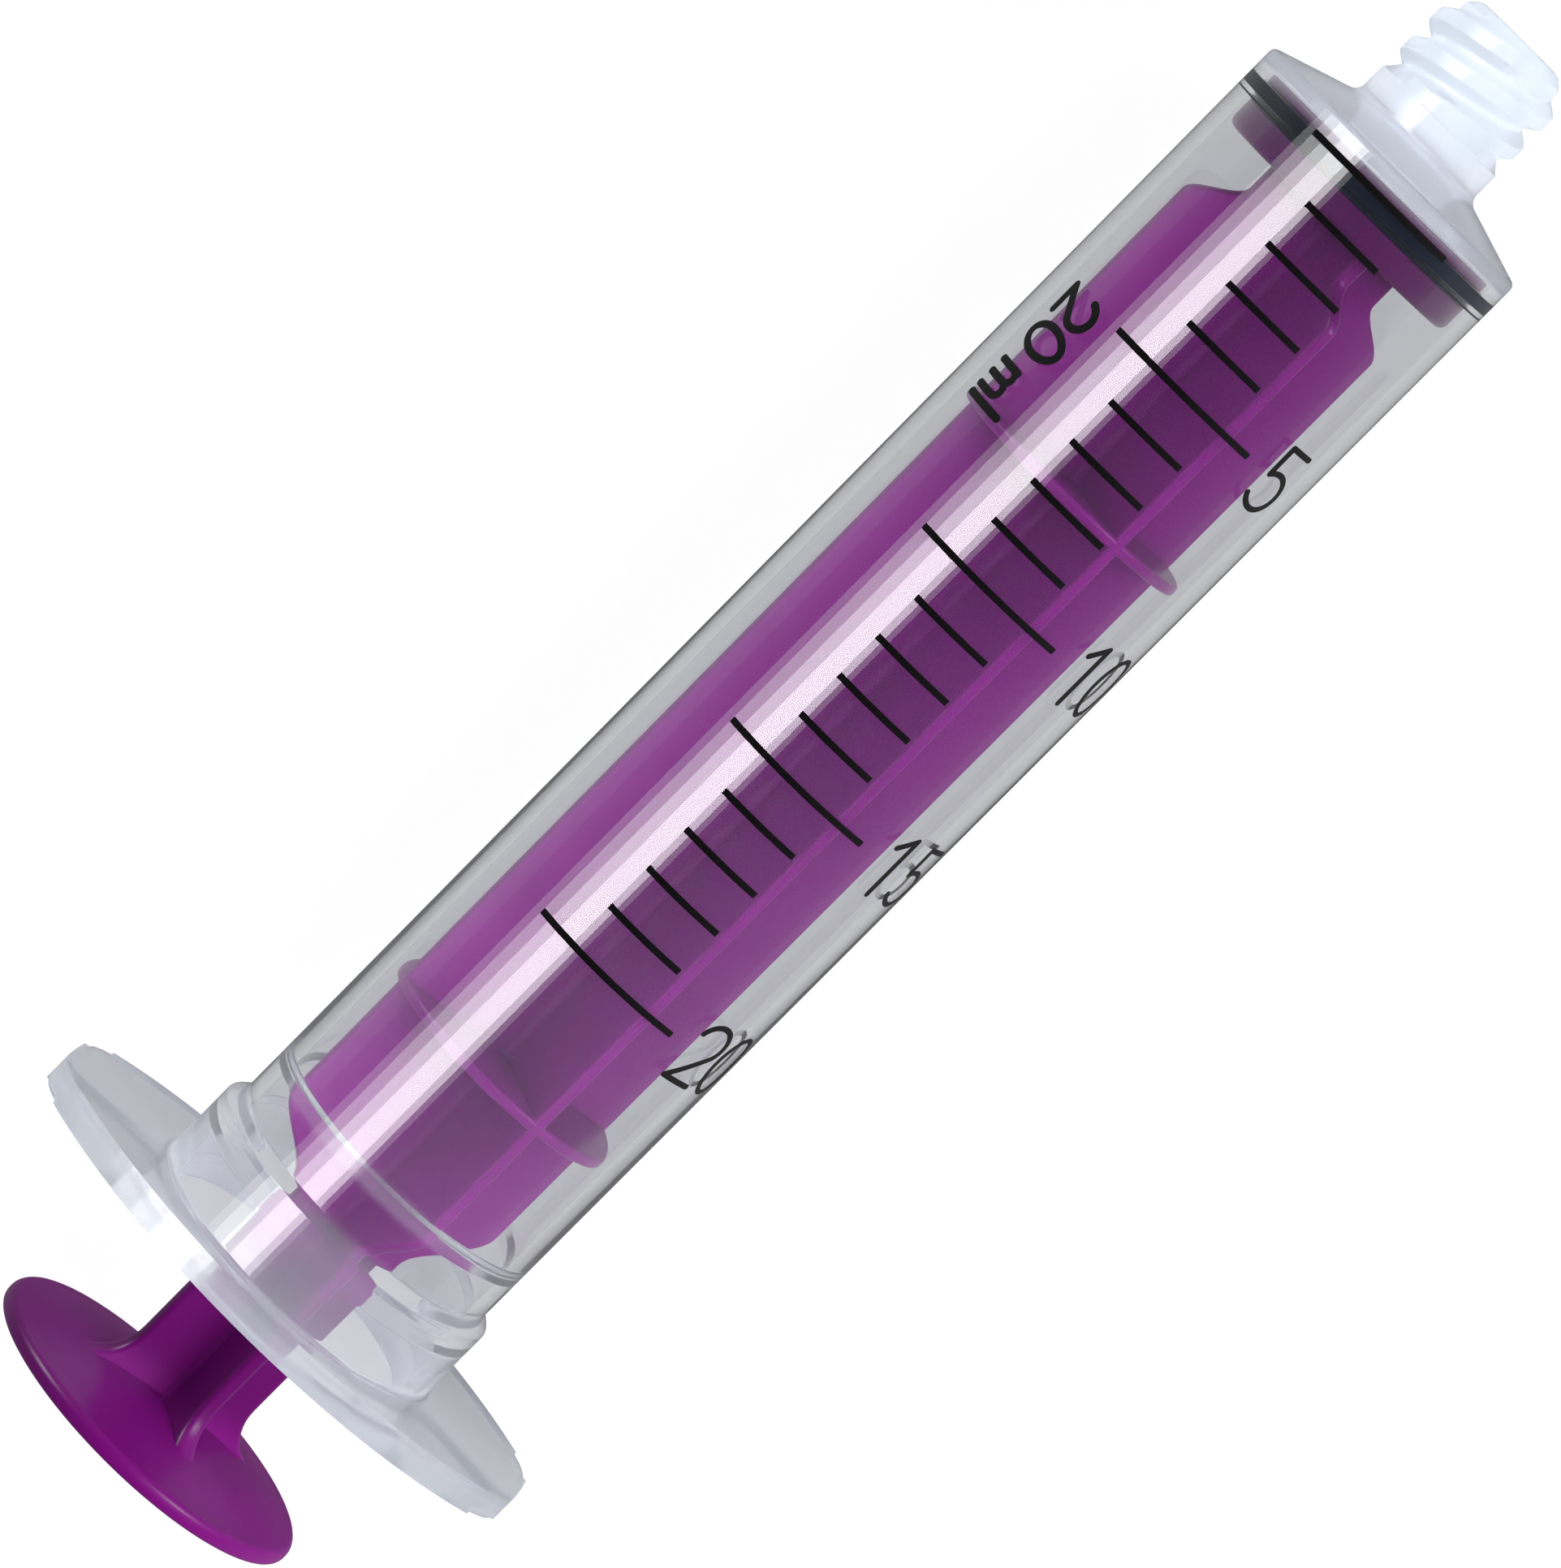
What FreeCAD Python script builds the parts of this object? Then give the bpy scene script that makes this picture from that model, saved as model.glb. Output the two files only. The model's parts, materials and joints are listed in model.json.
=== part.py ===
import FreeCAD, Part
import math
import os

import Sketcher

# Oral syringe for enteral use: a clear barrel with a winged finger flange and a threaded
# female nozzle, a ribbed plunger with a round thumb disc, and the rubber seal in its head.
#
# Frame: millimetres. The barrel's axis lies along X, +X leaves the nozzle's mouth, the
# flange's wings reach along Y, and +Z is up when the syringe lies with its wings level.
# The origin is the centre of the nozzle's mouth.
#
# The barrel is drawn from the flange's rear face forwards, the plunger from its rear rim
# forwards and the seal from its rear edge forwards. Their Placements put them in the frame.

DRIVING_SIZES = {
    # Capacity and barrel tube
    "nominal_volume": 20,              # millilitres at the last scale line
    "bore_diameter": 19.3,
    "tube_wall": 1.0,
    "scale_to_flange": 31.8,           # last scale line to the flange's rear face
    "front_edge_round": 0.5,
    # Collar and finger flange
    "collar_wall": 1.88,
    "collar_length": 7.6,
    "collar_slope": 0.8,
    "flange_span": 40.6,
    "flange_depth": 28.4,
    "flange_thickness": 2.05,
    "wing_tip_width": 9.0,
    "wing_corner_round": 2.5,
    "flange_edge_round": 0.6,
    "lead_in_depth": 5.5,              # wider mouth that guides the seal into the bore
    "lead_in_step": 0.65,
    "lead_in_slope": 1.1,
    "bead_position": 11.9,             # ring inside the bore that keeps the plunger in
    "bead_height": 0.4,
    "bead_width": 1.2,
    # Shoulder and nozzle
    "shoulder_angle": 17.5,
    "shoulder_wall": 1.0,
    "boss_diameter": 9.9,
    "boss_length": 2.2,
    "nozzle_diameter": 8.08,           # at the root of the thread
    "nozzle_length": 9.36,             # shoulder to mouth
    "thread_height": 0.91,
    "thread_pitch": 2.55,              # between neighbouring crests of the two starts
    "thread_starts": 2,
    "thread_run_in": 1.8,              # crest's start to the boss's front edge, inside the boss
    "thread_run_out": 1.2,             # crest's end to the mouth
    "thread_crest_width": 0.9,
    "thread_root_width": 2.3,
    "mouth_chamfer": 0.7,
    "socket_diameter": 5.7,
    "socket_depth": 8.8,
    "channel_diameter": 3.0,
    # Plunger
    "stem_standoff": 12.65,             # flange's rear face to the thumb disc's rear rim
    "nose_gap": 0.2,                   # plunger's front face to the barrel's front wall
    "guide_clearance": 0.5,            # ribs and guide discs to the bore, radial
    "head_clearance": 0.25,            # head discs to the bore, radial
    "rib_tip_thickness": 0.8,
    "rib_root_thickness": 1.6,
    "rib_turn": 28.5,                  # ribs turned about the axis, degrees
    "stem_radius": 4.95,
    "stem_taper_start": 19.05,
    "stem_taper_end": 24.05,
    "neck_radius": 6.0,
    "neck_length": 2.0,
    "neck_slope": 2.9,
    "guide_disc_thickness": 0.8,
    "rear_guide_position": 33.95,       # from the thumb disc's rear rim
    "front_guide_setback": 27.6,       # from the head's front face
    "head_front_thickness": 0.7,
    "head_rear_thickness": 2.0,
    "head_edge_round": 0.6,
    "thumb_diameter": 25.1,
    "thumb_thickness": 1.15,           # rear rim to the front face, beside the rounded edge
    "thumb_crown": 1.6,                # rise of the front face at its middle
    "thumb_front_round": 0.65,
    "thumb_rear_round": 0.4,
    "thumb_rim_width": 1.25,           # flat rear rim round the dish
    "thumb_dish": 1.2,                 # hollow of the disc's rear face
    "root_flare": 3.4,                 # ribs widening into the thumb disc
    # Seal ring
    "seal_width": 1.4,
    "seal_land_width": 0.95,
    "seal_groove_depth": 2.2,
    "seal_relief": 0.35,
    "seal_lip_width": 0.15,
    "seal_bore_clearance": 0.03,
    "seal_groove_clearance": 0.04,
    # Printing
    "ink_thickness": 0.03,
    "line_width": 0.45,
    "short_line_from": -12.0,          # degrees, right-handed about the axis from the top
    "short_line_to": 21.0,
    "long_line_from": -28.0,
    "long_line_to": 36.0,
    "numeral_step": 5,                 # millilitres from numeral to numeral
    "numeral_height": 4.65,
    "numeral_width": 2.75,
    "numeral_gap": 0.7,
    "numeral_angle": 46.0,             # near edge of the first digit
    "numeral_stroke": 0.42,
    "label_angle": -56.0,              # foot of the capacity label's letters
    "label_height": 3.4,
    "label_width": 2.1,
    "label_gap": 0.75,
    "label_stroke": 0.55,
}

doc = FreeCAD.newDocument("OralSyringe")
sizes = doc.addObject("Spreadsheet::Sheet", "Sizes")
for row, (alias, number) in enumerate(DRIVING_SIZES.items(), start=1):
    sizes.set(f"A{row}", str(number))
    sizes.setAlias(f"A{row}", alias)
doc.recompute()

# Lengths worked out from the driving sizes. Each is an expression that the document keeps.
BORE = "(Sizes.bore_diameter / 2)"
TUBE = f"({BORE} + Sizes.tube_wall)"
COLLAR = f"({BORE} + Sizes.collar_wall)"
LEAD_IN = f"({BORE} + Sizes.lead_in_step)"
BEAD = f"({BORE} - Sizes.bead_height)"
BOSS = "(Sizes.boss_diameter / 2)"
NOZZLE = "(Sizes.nozzle_diameter / 2)"
SOCKET = "(Sizes.socket_diameter / 2)"
CHANNEL = "(Sizes.channel_diameter / 2)"
LINE_PITCH = f"(1000 / (pi * {BORE} ^ 2))"
SCALE_LENGTH = f"(Sizes.nominal_volume * {LINE_PITCH})"
SHOULDER_TANGENT = "tan(Sizes.shoulder_angle * 1 deg)"

GUIDE = f"({BORE} - Sizes.guide_clearance)"
HEAD = f"({BORE} - Sizes.head_clearance)"
GROOVE = f"({HEAD} - Sizes.seal_groove_depth)"

# Along the barrel, from the flange's rear face: the zero line, the end of the bore and the nozzle.
ZERO_LINE = f"(Sizes.scale_to_flange + {SCALE_LENGTH})"
SEAL_TO_NOSE = "(Sizes.head_front_thickness + Sizes.seal_groove_clearance)"
BORE_END = f"({ZERO_LINE} + {SEAL_TO_NOSE} + Sizes.nose_gap)"
SHOULDER_START = f"({BORE_END} + Sizes.shoulder_wall - {SHOULDER_TANGENT} * Sizes.front_edge_round)"
SHOULDER_END = f"({SHOULDER_START} + ({TUBE} - {BOSS}) * {SHOULDER_TANGENT})"
MOUTH = f"({SHOULDER_END} + Sizes.nozzle_length)"
BOSS_END = f"({SHOULDER_END} + Sizes.boss_length)"
NOZZLE_START = f"({BOSS_END} + {BOSS} - {NOZZLE})"
SOCKET_END = f"({MOUTH} - Sizes.socket_depth)"
CHANNEL_START = f"({BORE_END} + ({BORE} - {CHANNEL}) * {SHOULDER_TANGENT})"

# Along the plunger, from the thumb disc's rear rim.
PLUNGER_LENGTH = f"(Sizes.stem_standoff + {BORE_END} - Sizes.nose_gap)"
GROOVE_FRONT = f"({PLUNGER_LENGTH} - Sizes.head_front_thickness)"
GROOVE_REAR = f"({GROOVE_FRONT} - Sizes.seal_width - 2 * Sizes.seal_groove_clearance)"
HEAD_REAR = f"({GROOVE_REAR} - Sizes.head_rear_thickness)"
INSIDE_HEAD = f"({HEAD_REAR} + Sizes.head_rear_thickness / 2)"
NECK_REAR = f"({HEAD_REAR} - Sizes.neck_length)"
THUMB = "(Sizes.thumb_diameter / 2)"
DISH_EDGE = f"({THUMB} - Sizes.thumb_rim_width)"
DISH_SWING = f"(({DISH_EDGE} ^ 2 + Sizes.thumb_dish ^ 2) / (2 * Sizes.thumb_dish))"


def value(expression):
    """The number that an expression over the sheet gives now."""
    result = sizes.evalExpression(expression)
    return float(getattr(result, "Value", result))


def point(x, y):
    return FreeCAD.Vector(x, y, 0)


def body_plane(body, role):
    """One of a body's own origin planes."""
    return next(feature for feature in body.Origin.OriginFeatures if feature.Role == role)


def new_sketch(body, name, role):
    sketch = body.newObject("Sketcher::SketchObject", name)
    sketch.AttachmentSupport = [(body_plane(body, role), "")]
    sketch.MapMode = "FlatFace"
    return sketch


def pin_point(sketch, geometry, position, x, y):
    """Holds one point of a sketch at two expressions, measured from the sketch's origin."""
    for kind, expression in (("DistanceX", x), ("DistanceY", y)):
        if expression is None:
            continue
        constraint = Sketcher.Constraint(kind, -1, 1, geometry, position, value(expression))
        index = sketch.addConstraint(constraint)
        sketch.setExpression(f"Constraints[{index}]", expression)


def outline(sketch, corners):
    """Draws a closed outline. A corner is (x, y), or (x, y, centre_x, centre_y) where the edge
    that leaves it is an arc about that centre; the shorter way round is taken."""
    first = sketch.GeometryCount
    count = len(corners)
    places = [(value(corner[0]), value(corner[1])) for corner in corners]
    starts = []
    ends = []
    for number, corner in enumerate(corners):
        here = places[number]
        there = places[(number + 1) % count]
        if len(corner) == 2:
            edge = Part.LineSegment(point(*here), point(*there))
            starts.append(1)
            ends.append(2)
        else:
            centre = (value(corner[2]), value(corner[3]))
            radius = math.dist(here, centre)
            angle_here = math.atan2(here[1] - centre[1], here[0] - centre[0])
            angle_there = math.atan2(there[1] - centre[1], there[0] - centre[0])
            turn = (angle_there - angle_here + math.pi) % (2 * math.pi) - math.pi
            circle = Part.Circle(point(*centre), FreeCAD.Vector(0, 0, 1), radius)
            if turn > 0:
                edge = Part.ArcOfCircle(circle, angle_here, angle_here + turn)
            else:
                edge = Part.ArcOfCircle(circle, angle_there, angle_there - turn)
            starts.append(1 if turn > 0 else 2)
            ends.append(2 if turn > 0 else 1)
        sketch.addGeometry(edge, False)
    for number in range(count):
        following = (number + 1) % count
        joint = (first + number, ends[number], first + following, starts[following])
        sketch.addConstraint(Sketcher.Constraint("Coincident", *joint))
    for number, corner in enumerate(corners):
        pin_point(sketch, first + number, starts[number], corner[0], corner[1])
        if len(corner) == 4:
            here = places[number]
            there = places[(number + 1) % count]
            flat_chord = abs(there[0] - here[0]) > abs(there[1] - here[1])
            centre = (None, corner[3]) if flat_chord else (corner[2], None)
            pin_point(sketch, first + number, 3, *centre)


def revolve(body, name, corners, kind="Revolution"):
    """Turns an outline in the XZ plane once round the X axis, as a solid or as a cut."""
    sketch = new_sketch(body, f"{name}Outline", "XZ_Plane")
    outline(sketch, corners)
    feature = body.newObject(f"PartDesign::{kind}", name)
    feature.Profile = sketch
    feature.ReferenceAxis = (sketch, ["H_Axis"])
    feature.Angle = 360
    return feature


def s_curve(x_rear, r_rear, x_front, r_front):
    """Two equal arcs from one radius to another, level at both ends, as three outline corners."""
    run = f"({x_front} - {x_rear})"
    rise = f"({r_front} - {r_rear})"
    swing = f"(({run} ^ 2 + {rise} ^ 2) / (4 * {rise}))"
    middle = (f"(({x_rear} + {x_front}) / 2)", f"(({r_rear} + {r_front}) / 2)")
    return [
        (x_rear, r_rear, x_rear, f"({r_rear} + {swing})"),
        (middle[0], middle[1], x_front, f"({r_front} - {swing})"),
        (x_front, r_front),
    ]


def edges_where(shape, test):
    """Names of the edges whose every vertex passes the test."""
    return [
        f"Edge{number}"
        for number, edge in enumerate(shape.Edges, start=1)
        if edge.Vertexes and all(test(vertex.Point) for vertex in edge.Vertexes)
    ]


def round_edges(body, name, base, edge_names, radius):
    feature = body.newObject("PartDesign::Fillet", name)
    feature.Base = (base, edge_names)
    feature.setExpression("Radius", radius)
    return feature


def near(one, other):
    return abs(one - other) < 1e-4


# ---------------------------------------------------------------- barrel

def add_flange(body):
    """Oval finger flange: two long arcs joined by short straight wing tips."""
    half_span = "(Sizes.flange_span / 2)"
    half_depth = "(Sizes.flange_depth / 2)"
    half_tip = "(Sizes.wing_tip_width / 2)"
    drop = f"(({half_span} ^ 2 + {half_tip} ^ 2 - {half_depth} ^ 2) / (2 * ({half_depth} - {half_tip})))"
    sketch = new_sketch(body, "FlangeOutline", "YZ_Plane")
    outline(sketch, [
        (half_span, f"-{half_tip}"),
        (half_span, half_tip, "0", f"-{drop}"),
        (f"-{half_span}", half_tip),
        (f"-{half_span}", f"-{half_tip}", "0", drop),
    ])
    flange = body.newObject("PartDesign::Pad", "Flange")
    flange.Profile = sketch
    flange.setExpression("Length", "Sizes.flange_thickness")
    doc.recompute()

    tip_y = value(half_span)
    corners = edges_where(flange.Shape, lambda p: near(abs(p.y), tip_y))
    upright = [
        name for name in corners
        if near(flange.Shape.getElement(name).Length, value("Sizes.flange_thickness"))
    ]
    corner_rounds = round_edges(body, "WingCorners", flange, upright, "Sizes.wing_corner_round")
    doc.recompute()

    faces = (0, value("Sizes.flange_thickness"))
    clear_of_collar = value(COLLAR) + 0.1
    outer = edges_where(corner_rounds.Shape, lambda p: math.hypot(p.y, p.z) > clear_of_collar)
    rim = [
        name for name in outer
        if any(all(near(vertex.X, face) for vertex in corner_rounds.Shape.getElement(name).Vertexes)
               for face in faces)
    ]
    rim_rounds = round_edges(body, "FlangeRim", corner_rounds, rim, "Sizes.flange_edge_round")
    doc.recompute()
    return rim_rounds


def add_thread(body):
    """Two-start right-hand thread on the nozzle, from inside the boss to near the mouth."""
    lead = "(Sizes.thread_pitch * Sizes.thread_starts)"
    half_root = "(Sizes.thread_root_width / 2)"
    half_crest = "(Sizes.thread_crest_width / 2)"
    first_crest = f"({BOSS_END} - Sizes.thread_run_in)"
    buried = f"({NOZZLE} - 0.2)"
    crest = f"({NOZZLE} + Sizes.thread_height)"
    sketch = new_sketch(body, "ThreadProfile", "XZ_Plane")
    outline(sketch, [
        (f"{first_crest} - {half_root}", buried),
        (f"{first_crest} + {half_root}", buried),
        (f"{first_crest} + {half_crest}", crest),
        (f"{first_crest} - {half_crest}", crest),
    ])
    thread = body.newObject("PartDesign::AdditiveHelix", "ThreadStart")
    thread.Profile = sketch
    thread.ReferenceAxis = (sketch, ["H_Axis"])
    thread.Mode = 0
    thread.setExpression("Pitch", lead)
    thread.setExpression("Height", f"{MOUTH} - Sizes.thread_run_out - {first_crest}")
    thread.LeftHanded = False
    doc.recompute()
    starts = body.newObject("PartDesign::PolarPattern", "ThreadStarts")
    starts.Originals = [thread]
    starts.Axis = (sketch, ["H_Axis"])
    starts.Angle = 360
    starts.setExpression("Occurrences", "Sizes.thread_starts")
    body.Tip = starts
    doc.recompute()


def make_barrel():
    """One moulding: tube, collar, finger flange, shoulder and threaded nozzle."""
    body = doc.addObject("PartDesign::Body", "Barrel")
    body.Label = "barrel"
    edge = "Sizes.front_edge_round"
    chamfer = f"min(Sizes.mouth_chamfer; 0.6 * ({NOZZLE} - {SOCKET}))"
    slope_end = "(Sizes.collar_length + Sizes.collar_slope)"
    revolve(body, "OuterForm", [
        ("0", "0"),
        ("0", COLLAR),
        ("Sizes.collar_length", COLLAR),
        (slope_end, TUBE),
        (f"{SHOULDER_START} - {edge}", TUBE, f"{SHOULDER_START} - {edge}", f"{TUBE} - {edge}"),
        (SHOULDER_START, f"{TUBE} - {edge}"),
        (SHOULDER_END, BOSS),
        (BOSS_END, BOSS),
        (NOZZLE_START, NOZZLE),
        (f"{MOUTH} - {chamfer}", NOZZLE),
        (MOUTH, f"{NOZZLE} - {chamfer}"),
        (MOUTH, "0"),
    ])
    add_flange(body)
    add_thread(body)
    bead_half = "(Sizes.bead_width / 2)"
    revolve(body, "Bore", [
        ("-1", "0"),
        ("-1", LEAD_IN),
        ("Sizes.lead_in_depth", LEAD_IN),
        ("Sizes.lead_in_depth + Sizes.lead_in_slope", BORE),
        (f"Sizes.bead_position - {bead_half}", BORE),
        ("Sizes.bead_position", BEAD),
        (f"Sizes.bead_position + {bead_half}", BORE),
        (BORE_END, BORE),
        (CHANNEL_START, CHANNEL),
        (SOCKET_END, CHANNEL),
        (SOCKET_END, SOCKET),
        (f"{MOUTH} + 1", SOCKET),
        (f"{MOUTH} + 1", "0"),
    ], "Groove")
    body.setExpression("Placement.Base.x", f"-{MOUTH}")
    doc.recompute()
    return body


# ---------------------------------------------------------------- plunger

def add_ribs(body):
    """Four ribs that thin towards their tips, drawn as one cross-shaped section."""
    reach = f"({BORE} + 1)"
    taper = f"((Sizes.rib_root_thickness - Sizes.rib_tip_thickness) / (2 * {GUIDE}))"
    half_tip = f"(Sizes.rib_root_thickness / 2 - {taper} * {reach})"
    half_core = f"(Sizes.rib_root_thickness / 2 / (1 + {taper}))"
    corners = []
    for along, across in (((1, 0), (0, 1)), ((0, 1), (-1, 0)), ((-1, 0), (0, -1)), ((0, -1), (1, 0))):
        for side in (-1, 1):
            corners.append(tuple(
                f"{along[i]} * {reach} + {side * across[i]} * {half_tip}" for i in (0, 1)))
        corners.append(tuple(
            f"{along[i]} * {half_core} + {across[i]} * {half_core}" for i in (0, 1)))
    sketch = new_sketch(body, "RibSection", "YZ_Plane")
    outline(sketch, corners)
    ribs = body.newObject("PartDesign::Pad", "Ribs")
    ribs.Profile = sketch
    ribs.setExpression("Length", INSIDE_HEAD)
    doc.recompute()

    core = value(half_core)
    inner = edges_where(ribs.Shape, lambda p: near(abs(p.y), core) and near(abs(p.z), core))
    long_edges = [name for name in inner if ribs.Shape.getElement(name).Length > 1]
    round_edges(body, "RibRoots", ribs, long_edges, "Sizes.rib_root_thickness / 2")
    doc.recompute()


def trim_ribs(body):
    """Cuts the ribs to their outline: flared foot, narrow stem, wide middle and neck."""
    outside = f"({BORE} + 3)"
    foot = "(Sizes.thumb_thickness + Sizes.thumb_crown / 2)"
    flared = f"(Sizes.stem_radius + Sizes.root_flare)"
    corners = [
        ("-1", flared),
        (foot, flared, f"{foot} + Sizes.root_flare", flared),
        (f"{foot} + Sizes.root_flare", "Sizes.stem_radius"),
    ]
    corners += s_curve("Sizes.stem_taper_start", "Sizes.stem_radius", "Sizes.stem_taper_end", GUIDE)
    corners += s_curve(f"({NECK_REAR} - Sizes.neck_slope)", GUIDE, NECK_REAR, "Sizes.neck_radius")
    corners += [
        (f"{INSIDE_HEAD} + 1", "Sizes.neck_radius"),
        (f"{INSIDE_HEAD} + 1", outside),
        ("-1", outside),
    ]
    revolve(body, "RibOutline", corners, "Groove")
    doc.recompute()


def add_thumb_disc(body):
    """Round disc with a crowned front, a rounded rim and a dished rear for the thumb."""
    rear = "Sizes.thumb_rear_round"
    front = "Sizes.thumb_front_round"
    face = "Sizes.thumb_thickness"
    crown_edge = f"({THUMB} - {front})"
    crown_swing = f"(({crown_edge} ^ 2 + Sizes.thumb_crown ^ 2) / (2 * Sizes.thumb_crown))"
    crown_top = f"({face} + Sizes.thumb_crown)"
    revolve(body, "ThumbDisc", [
        ("Sizes.thumb_dish", "0", f"Sizes.thumb_dish - {DISH_SWING}", "0"),
        ("0", DISH_EDGE),
        ("0", f"{THUMB} - {rear}", rear, f"{THUMB} - {rear}"),
        (rear, THUMB),
        (f"{face} - {front}", THUMB, f"{face} - {front}", crown_edge),
        (face, crown_edge, f"{crown_top} - {crown_swing}", "0"),
        (crown_top, "0"),
    ])
    doc.recompute()


def cut_rear_dish(body):
    """Takes away the stubs of the ribs that would stand in the thumb disc's dish."""
    revolve(body, "RearDish", [
        ("-1", "0"),
        ("Sizes.thumb_dish", "0", f"Sizes.thumb_dish - {DISH_SWING}", "0"),
        ("0", DISH_EDGE),
        ("-1", DISH_EDGE),
    ], "Groove")
    doc.recompute()


def add_guide_disc(body, name, middle):
    """Thin disc across the ribs that keeps the plunger straight in the bore."""
    half = "(Sizes.guide_disc_thickness / 2)"
    bevel = "(Sizes.guide_disc_thickness / 4)"
    revolve(body, name, [
        (f"{middle} - {half}", "0"),
        (f"{middle} - {half}", f"{GUIDE} - {bevel}"),
        (f"{middle} - {bevel}", GUIDE),
        (f"{middle} + {bevel}", GUIDE),
        (f"{middle} + {half}", f"{GUIDE} - {bevel}"),
        (f"{middle} + {half}", "0"),
    ])
    doc.recompute()


def add_head(body):
    """Two discs with the groove for the seal between them."""
    edge = "Sizes.head_edge_round"
    nose = "(Sizes.head_front_thickness / 3)"
    revolve(body, "Head", [
        (HEAD_REAR, "0"),
        (HEAD_REAR, f"{HEAD} - {edge}", f"{HEAD_REAR} + {edge}", f"{HEAD} - {edge}"),
        (f"{HEAD_REAR} + {edge}", HEAD),
        (GROOVE_REAR, HEAD),
        (GROOVE_REAR, GROOVE),
        (GROOVE_FRONT, GROOVE),
        (GROOVE_FRONT, HEAD),
        (f"{PLUNGER_LENGTH} - {nose}", HEAD),
        (PLUNGER_LENGTH, f"{HEAD} - {nose}"),
        (PLUNGER_LENGTH, "0"),
    ])
    doc.recompute()


def make_plunger():
    """One moulding: thumb disc, ribbed stem, guide discs and the head that holds the seal."""
    body = doc.addObject("PartDesign::Body", "Plunger")
    body.Label = "plunger"
    add_ribs(body)
    trim_ribs(body)
    add_thumb_disc(body)
    cut_rear_dish(body)
    add_guide_disc(body, "RearGuide", "Sizes.rear_guide_position")
    add_guide_disc(body, "FrontGuide", f"({PLUNGER_LENGTH} - Sizes.front_guide_setback)")
    add_head(body)
    body.setExpression("Placement.Base.x", f"-{MOUTH} - Sizes.stem_standoff")
    body.Placement.Rotation = FreeCAD.Rotation(FreeCAD.Vector(1, 0, 0), 1)
    body.setExpression("Placement.Rotation.Angle", "Sizes.rib_turn")
    doc.recompute()
    return body


# ---------------------------------------------------------------- seal ring

def make_seal_ring():
    """Rubber ring in the head's groove: a broad front land and a thin rear wiping lip."""
    body = doc.addObject("PartDesign::Body", "SealRing")
    body.Label = "seal_ring"
    inner = f"({GROOVE} + Sizes.seal_groove_clearance)"
    outer = f"({BORE} - Sizes.seal_bore_clearance)"
    waist = f"({outer} - Sizes.seal_relief)"
    land_start = "(Sizes.seal_width - Sizes.seal_land_width)"
    revolve(body, "Section", [
        ("0", inner),
        ("0", outer),
        ("Sizes.seal_lip_width", outer),
        ("2 * Sizes.seal_lip_width", waist),
        (f"{land_start} - Sizes.seal_lip_width", waist),
        (land_start, outer),
        ("Sizes.seal_width", outer),
        ("Sizes.seal_width", inner),
    ])
    seal_rear = f"(-{MOUTH} - Sizes.stem_standoff + {GROOVE_REAR} + Sizes.seal_groove_clearance)"
    body.setExpression("Placement.Base.x", seal_rear)
    doc.recompute()
    return body


# ---------------------------------------------------------------- printing

def skin_patch(x_middle, width, angle_from, angle_to):
    """A patch of ink on the tube, its angles right-handed about the axis from the top."""
    inner = value(TUBE)
    outer = inner + value("Sizes.ink_thickness")
    left = x_middle - width / 2
    right = x_middle + width / 2
    corners = [(left, inner), (right, inner), (right, outer), (left, outer), (left, inner)]
    section = Part.Face(Part.makePolygon([FreeCAD.Vector(x, 0, z) for x, z in corners]))
    origin = FreeCAD.Vector(0, 0, 0)
    axis = FreeCAD.Vector(1, 0, 0)
    section.rotate(origin, axis, angle_from)
    return section.revolve(origin, axis, angle_to - angle_from)


def make_scale_lines():
    """One line a millilitre, longer at every numeral, counted back from the zero line."""
    step = round(value("Sizes.numeral_step"))
    patches = []
    for volume in range(math.floor(value("Sizes.nominal_volume")) + 1):
        kind = "short" if volume % step else "long"
        patches.append(skin_patch(
            value(ZERO_LINE) - volume * value(LINE_PITCH),
            value("Sizes.line_width"),
            value(f"Sizes.{kind}_line_from"),
            value(f"Sizes.{kind}_line_to"),
        ))
    return print_feature("ScaleLines", "scale_lines", Part.makeCompound(patches))


def line(*places):
    return Part.makePolygon([point(*place) for place in places])


def arc(centre, radii, angle_from, angle_to):
    """Part of an upright ellipse, drawn anticlockwise from one angle to the other, in degrees,
    as two edges."""
    across, tall = radii
    upright = tall > across
    lean = 90 if upright else 0
    whole = Part.Ellipse(point(0, 0), tall, across) if upright else Part.Circle(
        point(0, 0), FreeCAD.Vector(0, 0, 1), across)
    angles = [math.radians(angle - lean) for angle in
              (angle_from, (angle_from + angle_to) / 2, angle_to)]
    edges = [whole.toShape(start, end) for start, end in zip(angles, angles[1:])]
    wire = Part.Wire(edges)
    wire.rotate(point(0, 0), FreeCAD.Vector(0, 0, 1), lean)
    wire.translate(point(*centre))
    return wire


def on_circle(centre, radius, angle):
    """The point of a circle at an angle in degrees."""
    turn = math.radians(angle)
    return (centre[0] + radius * math.cos(turn), centre[1] + radius * math.sin(turn))


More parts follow.
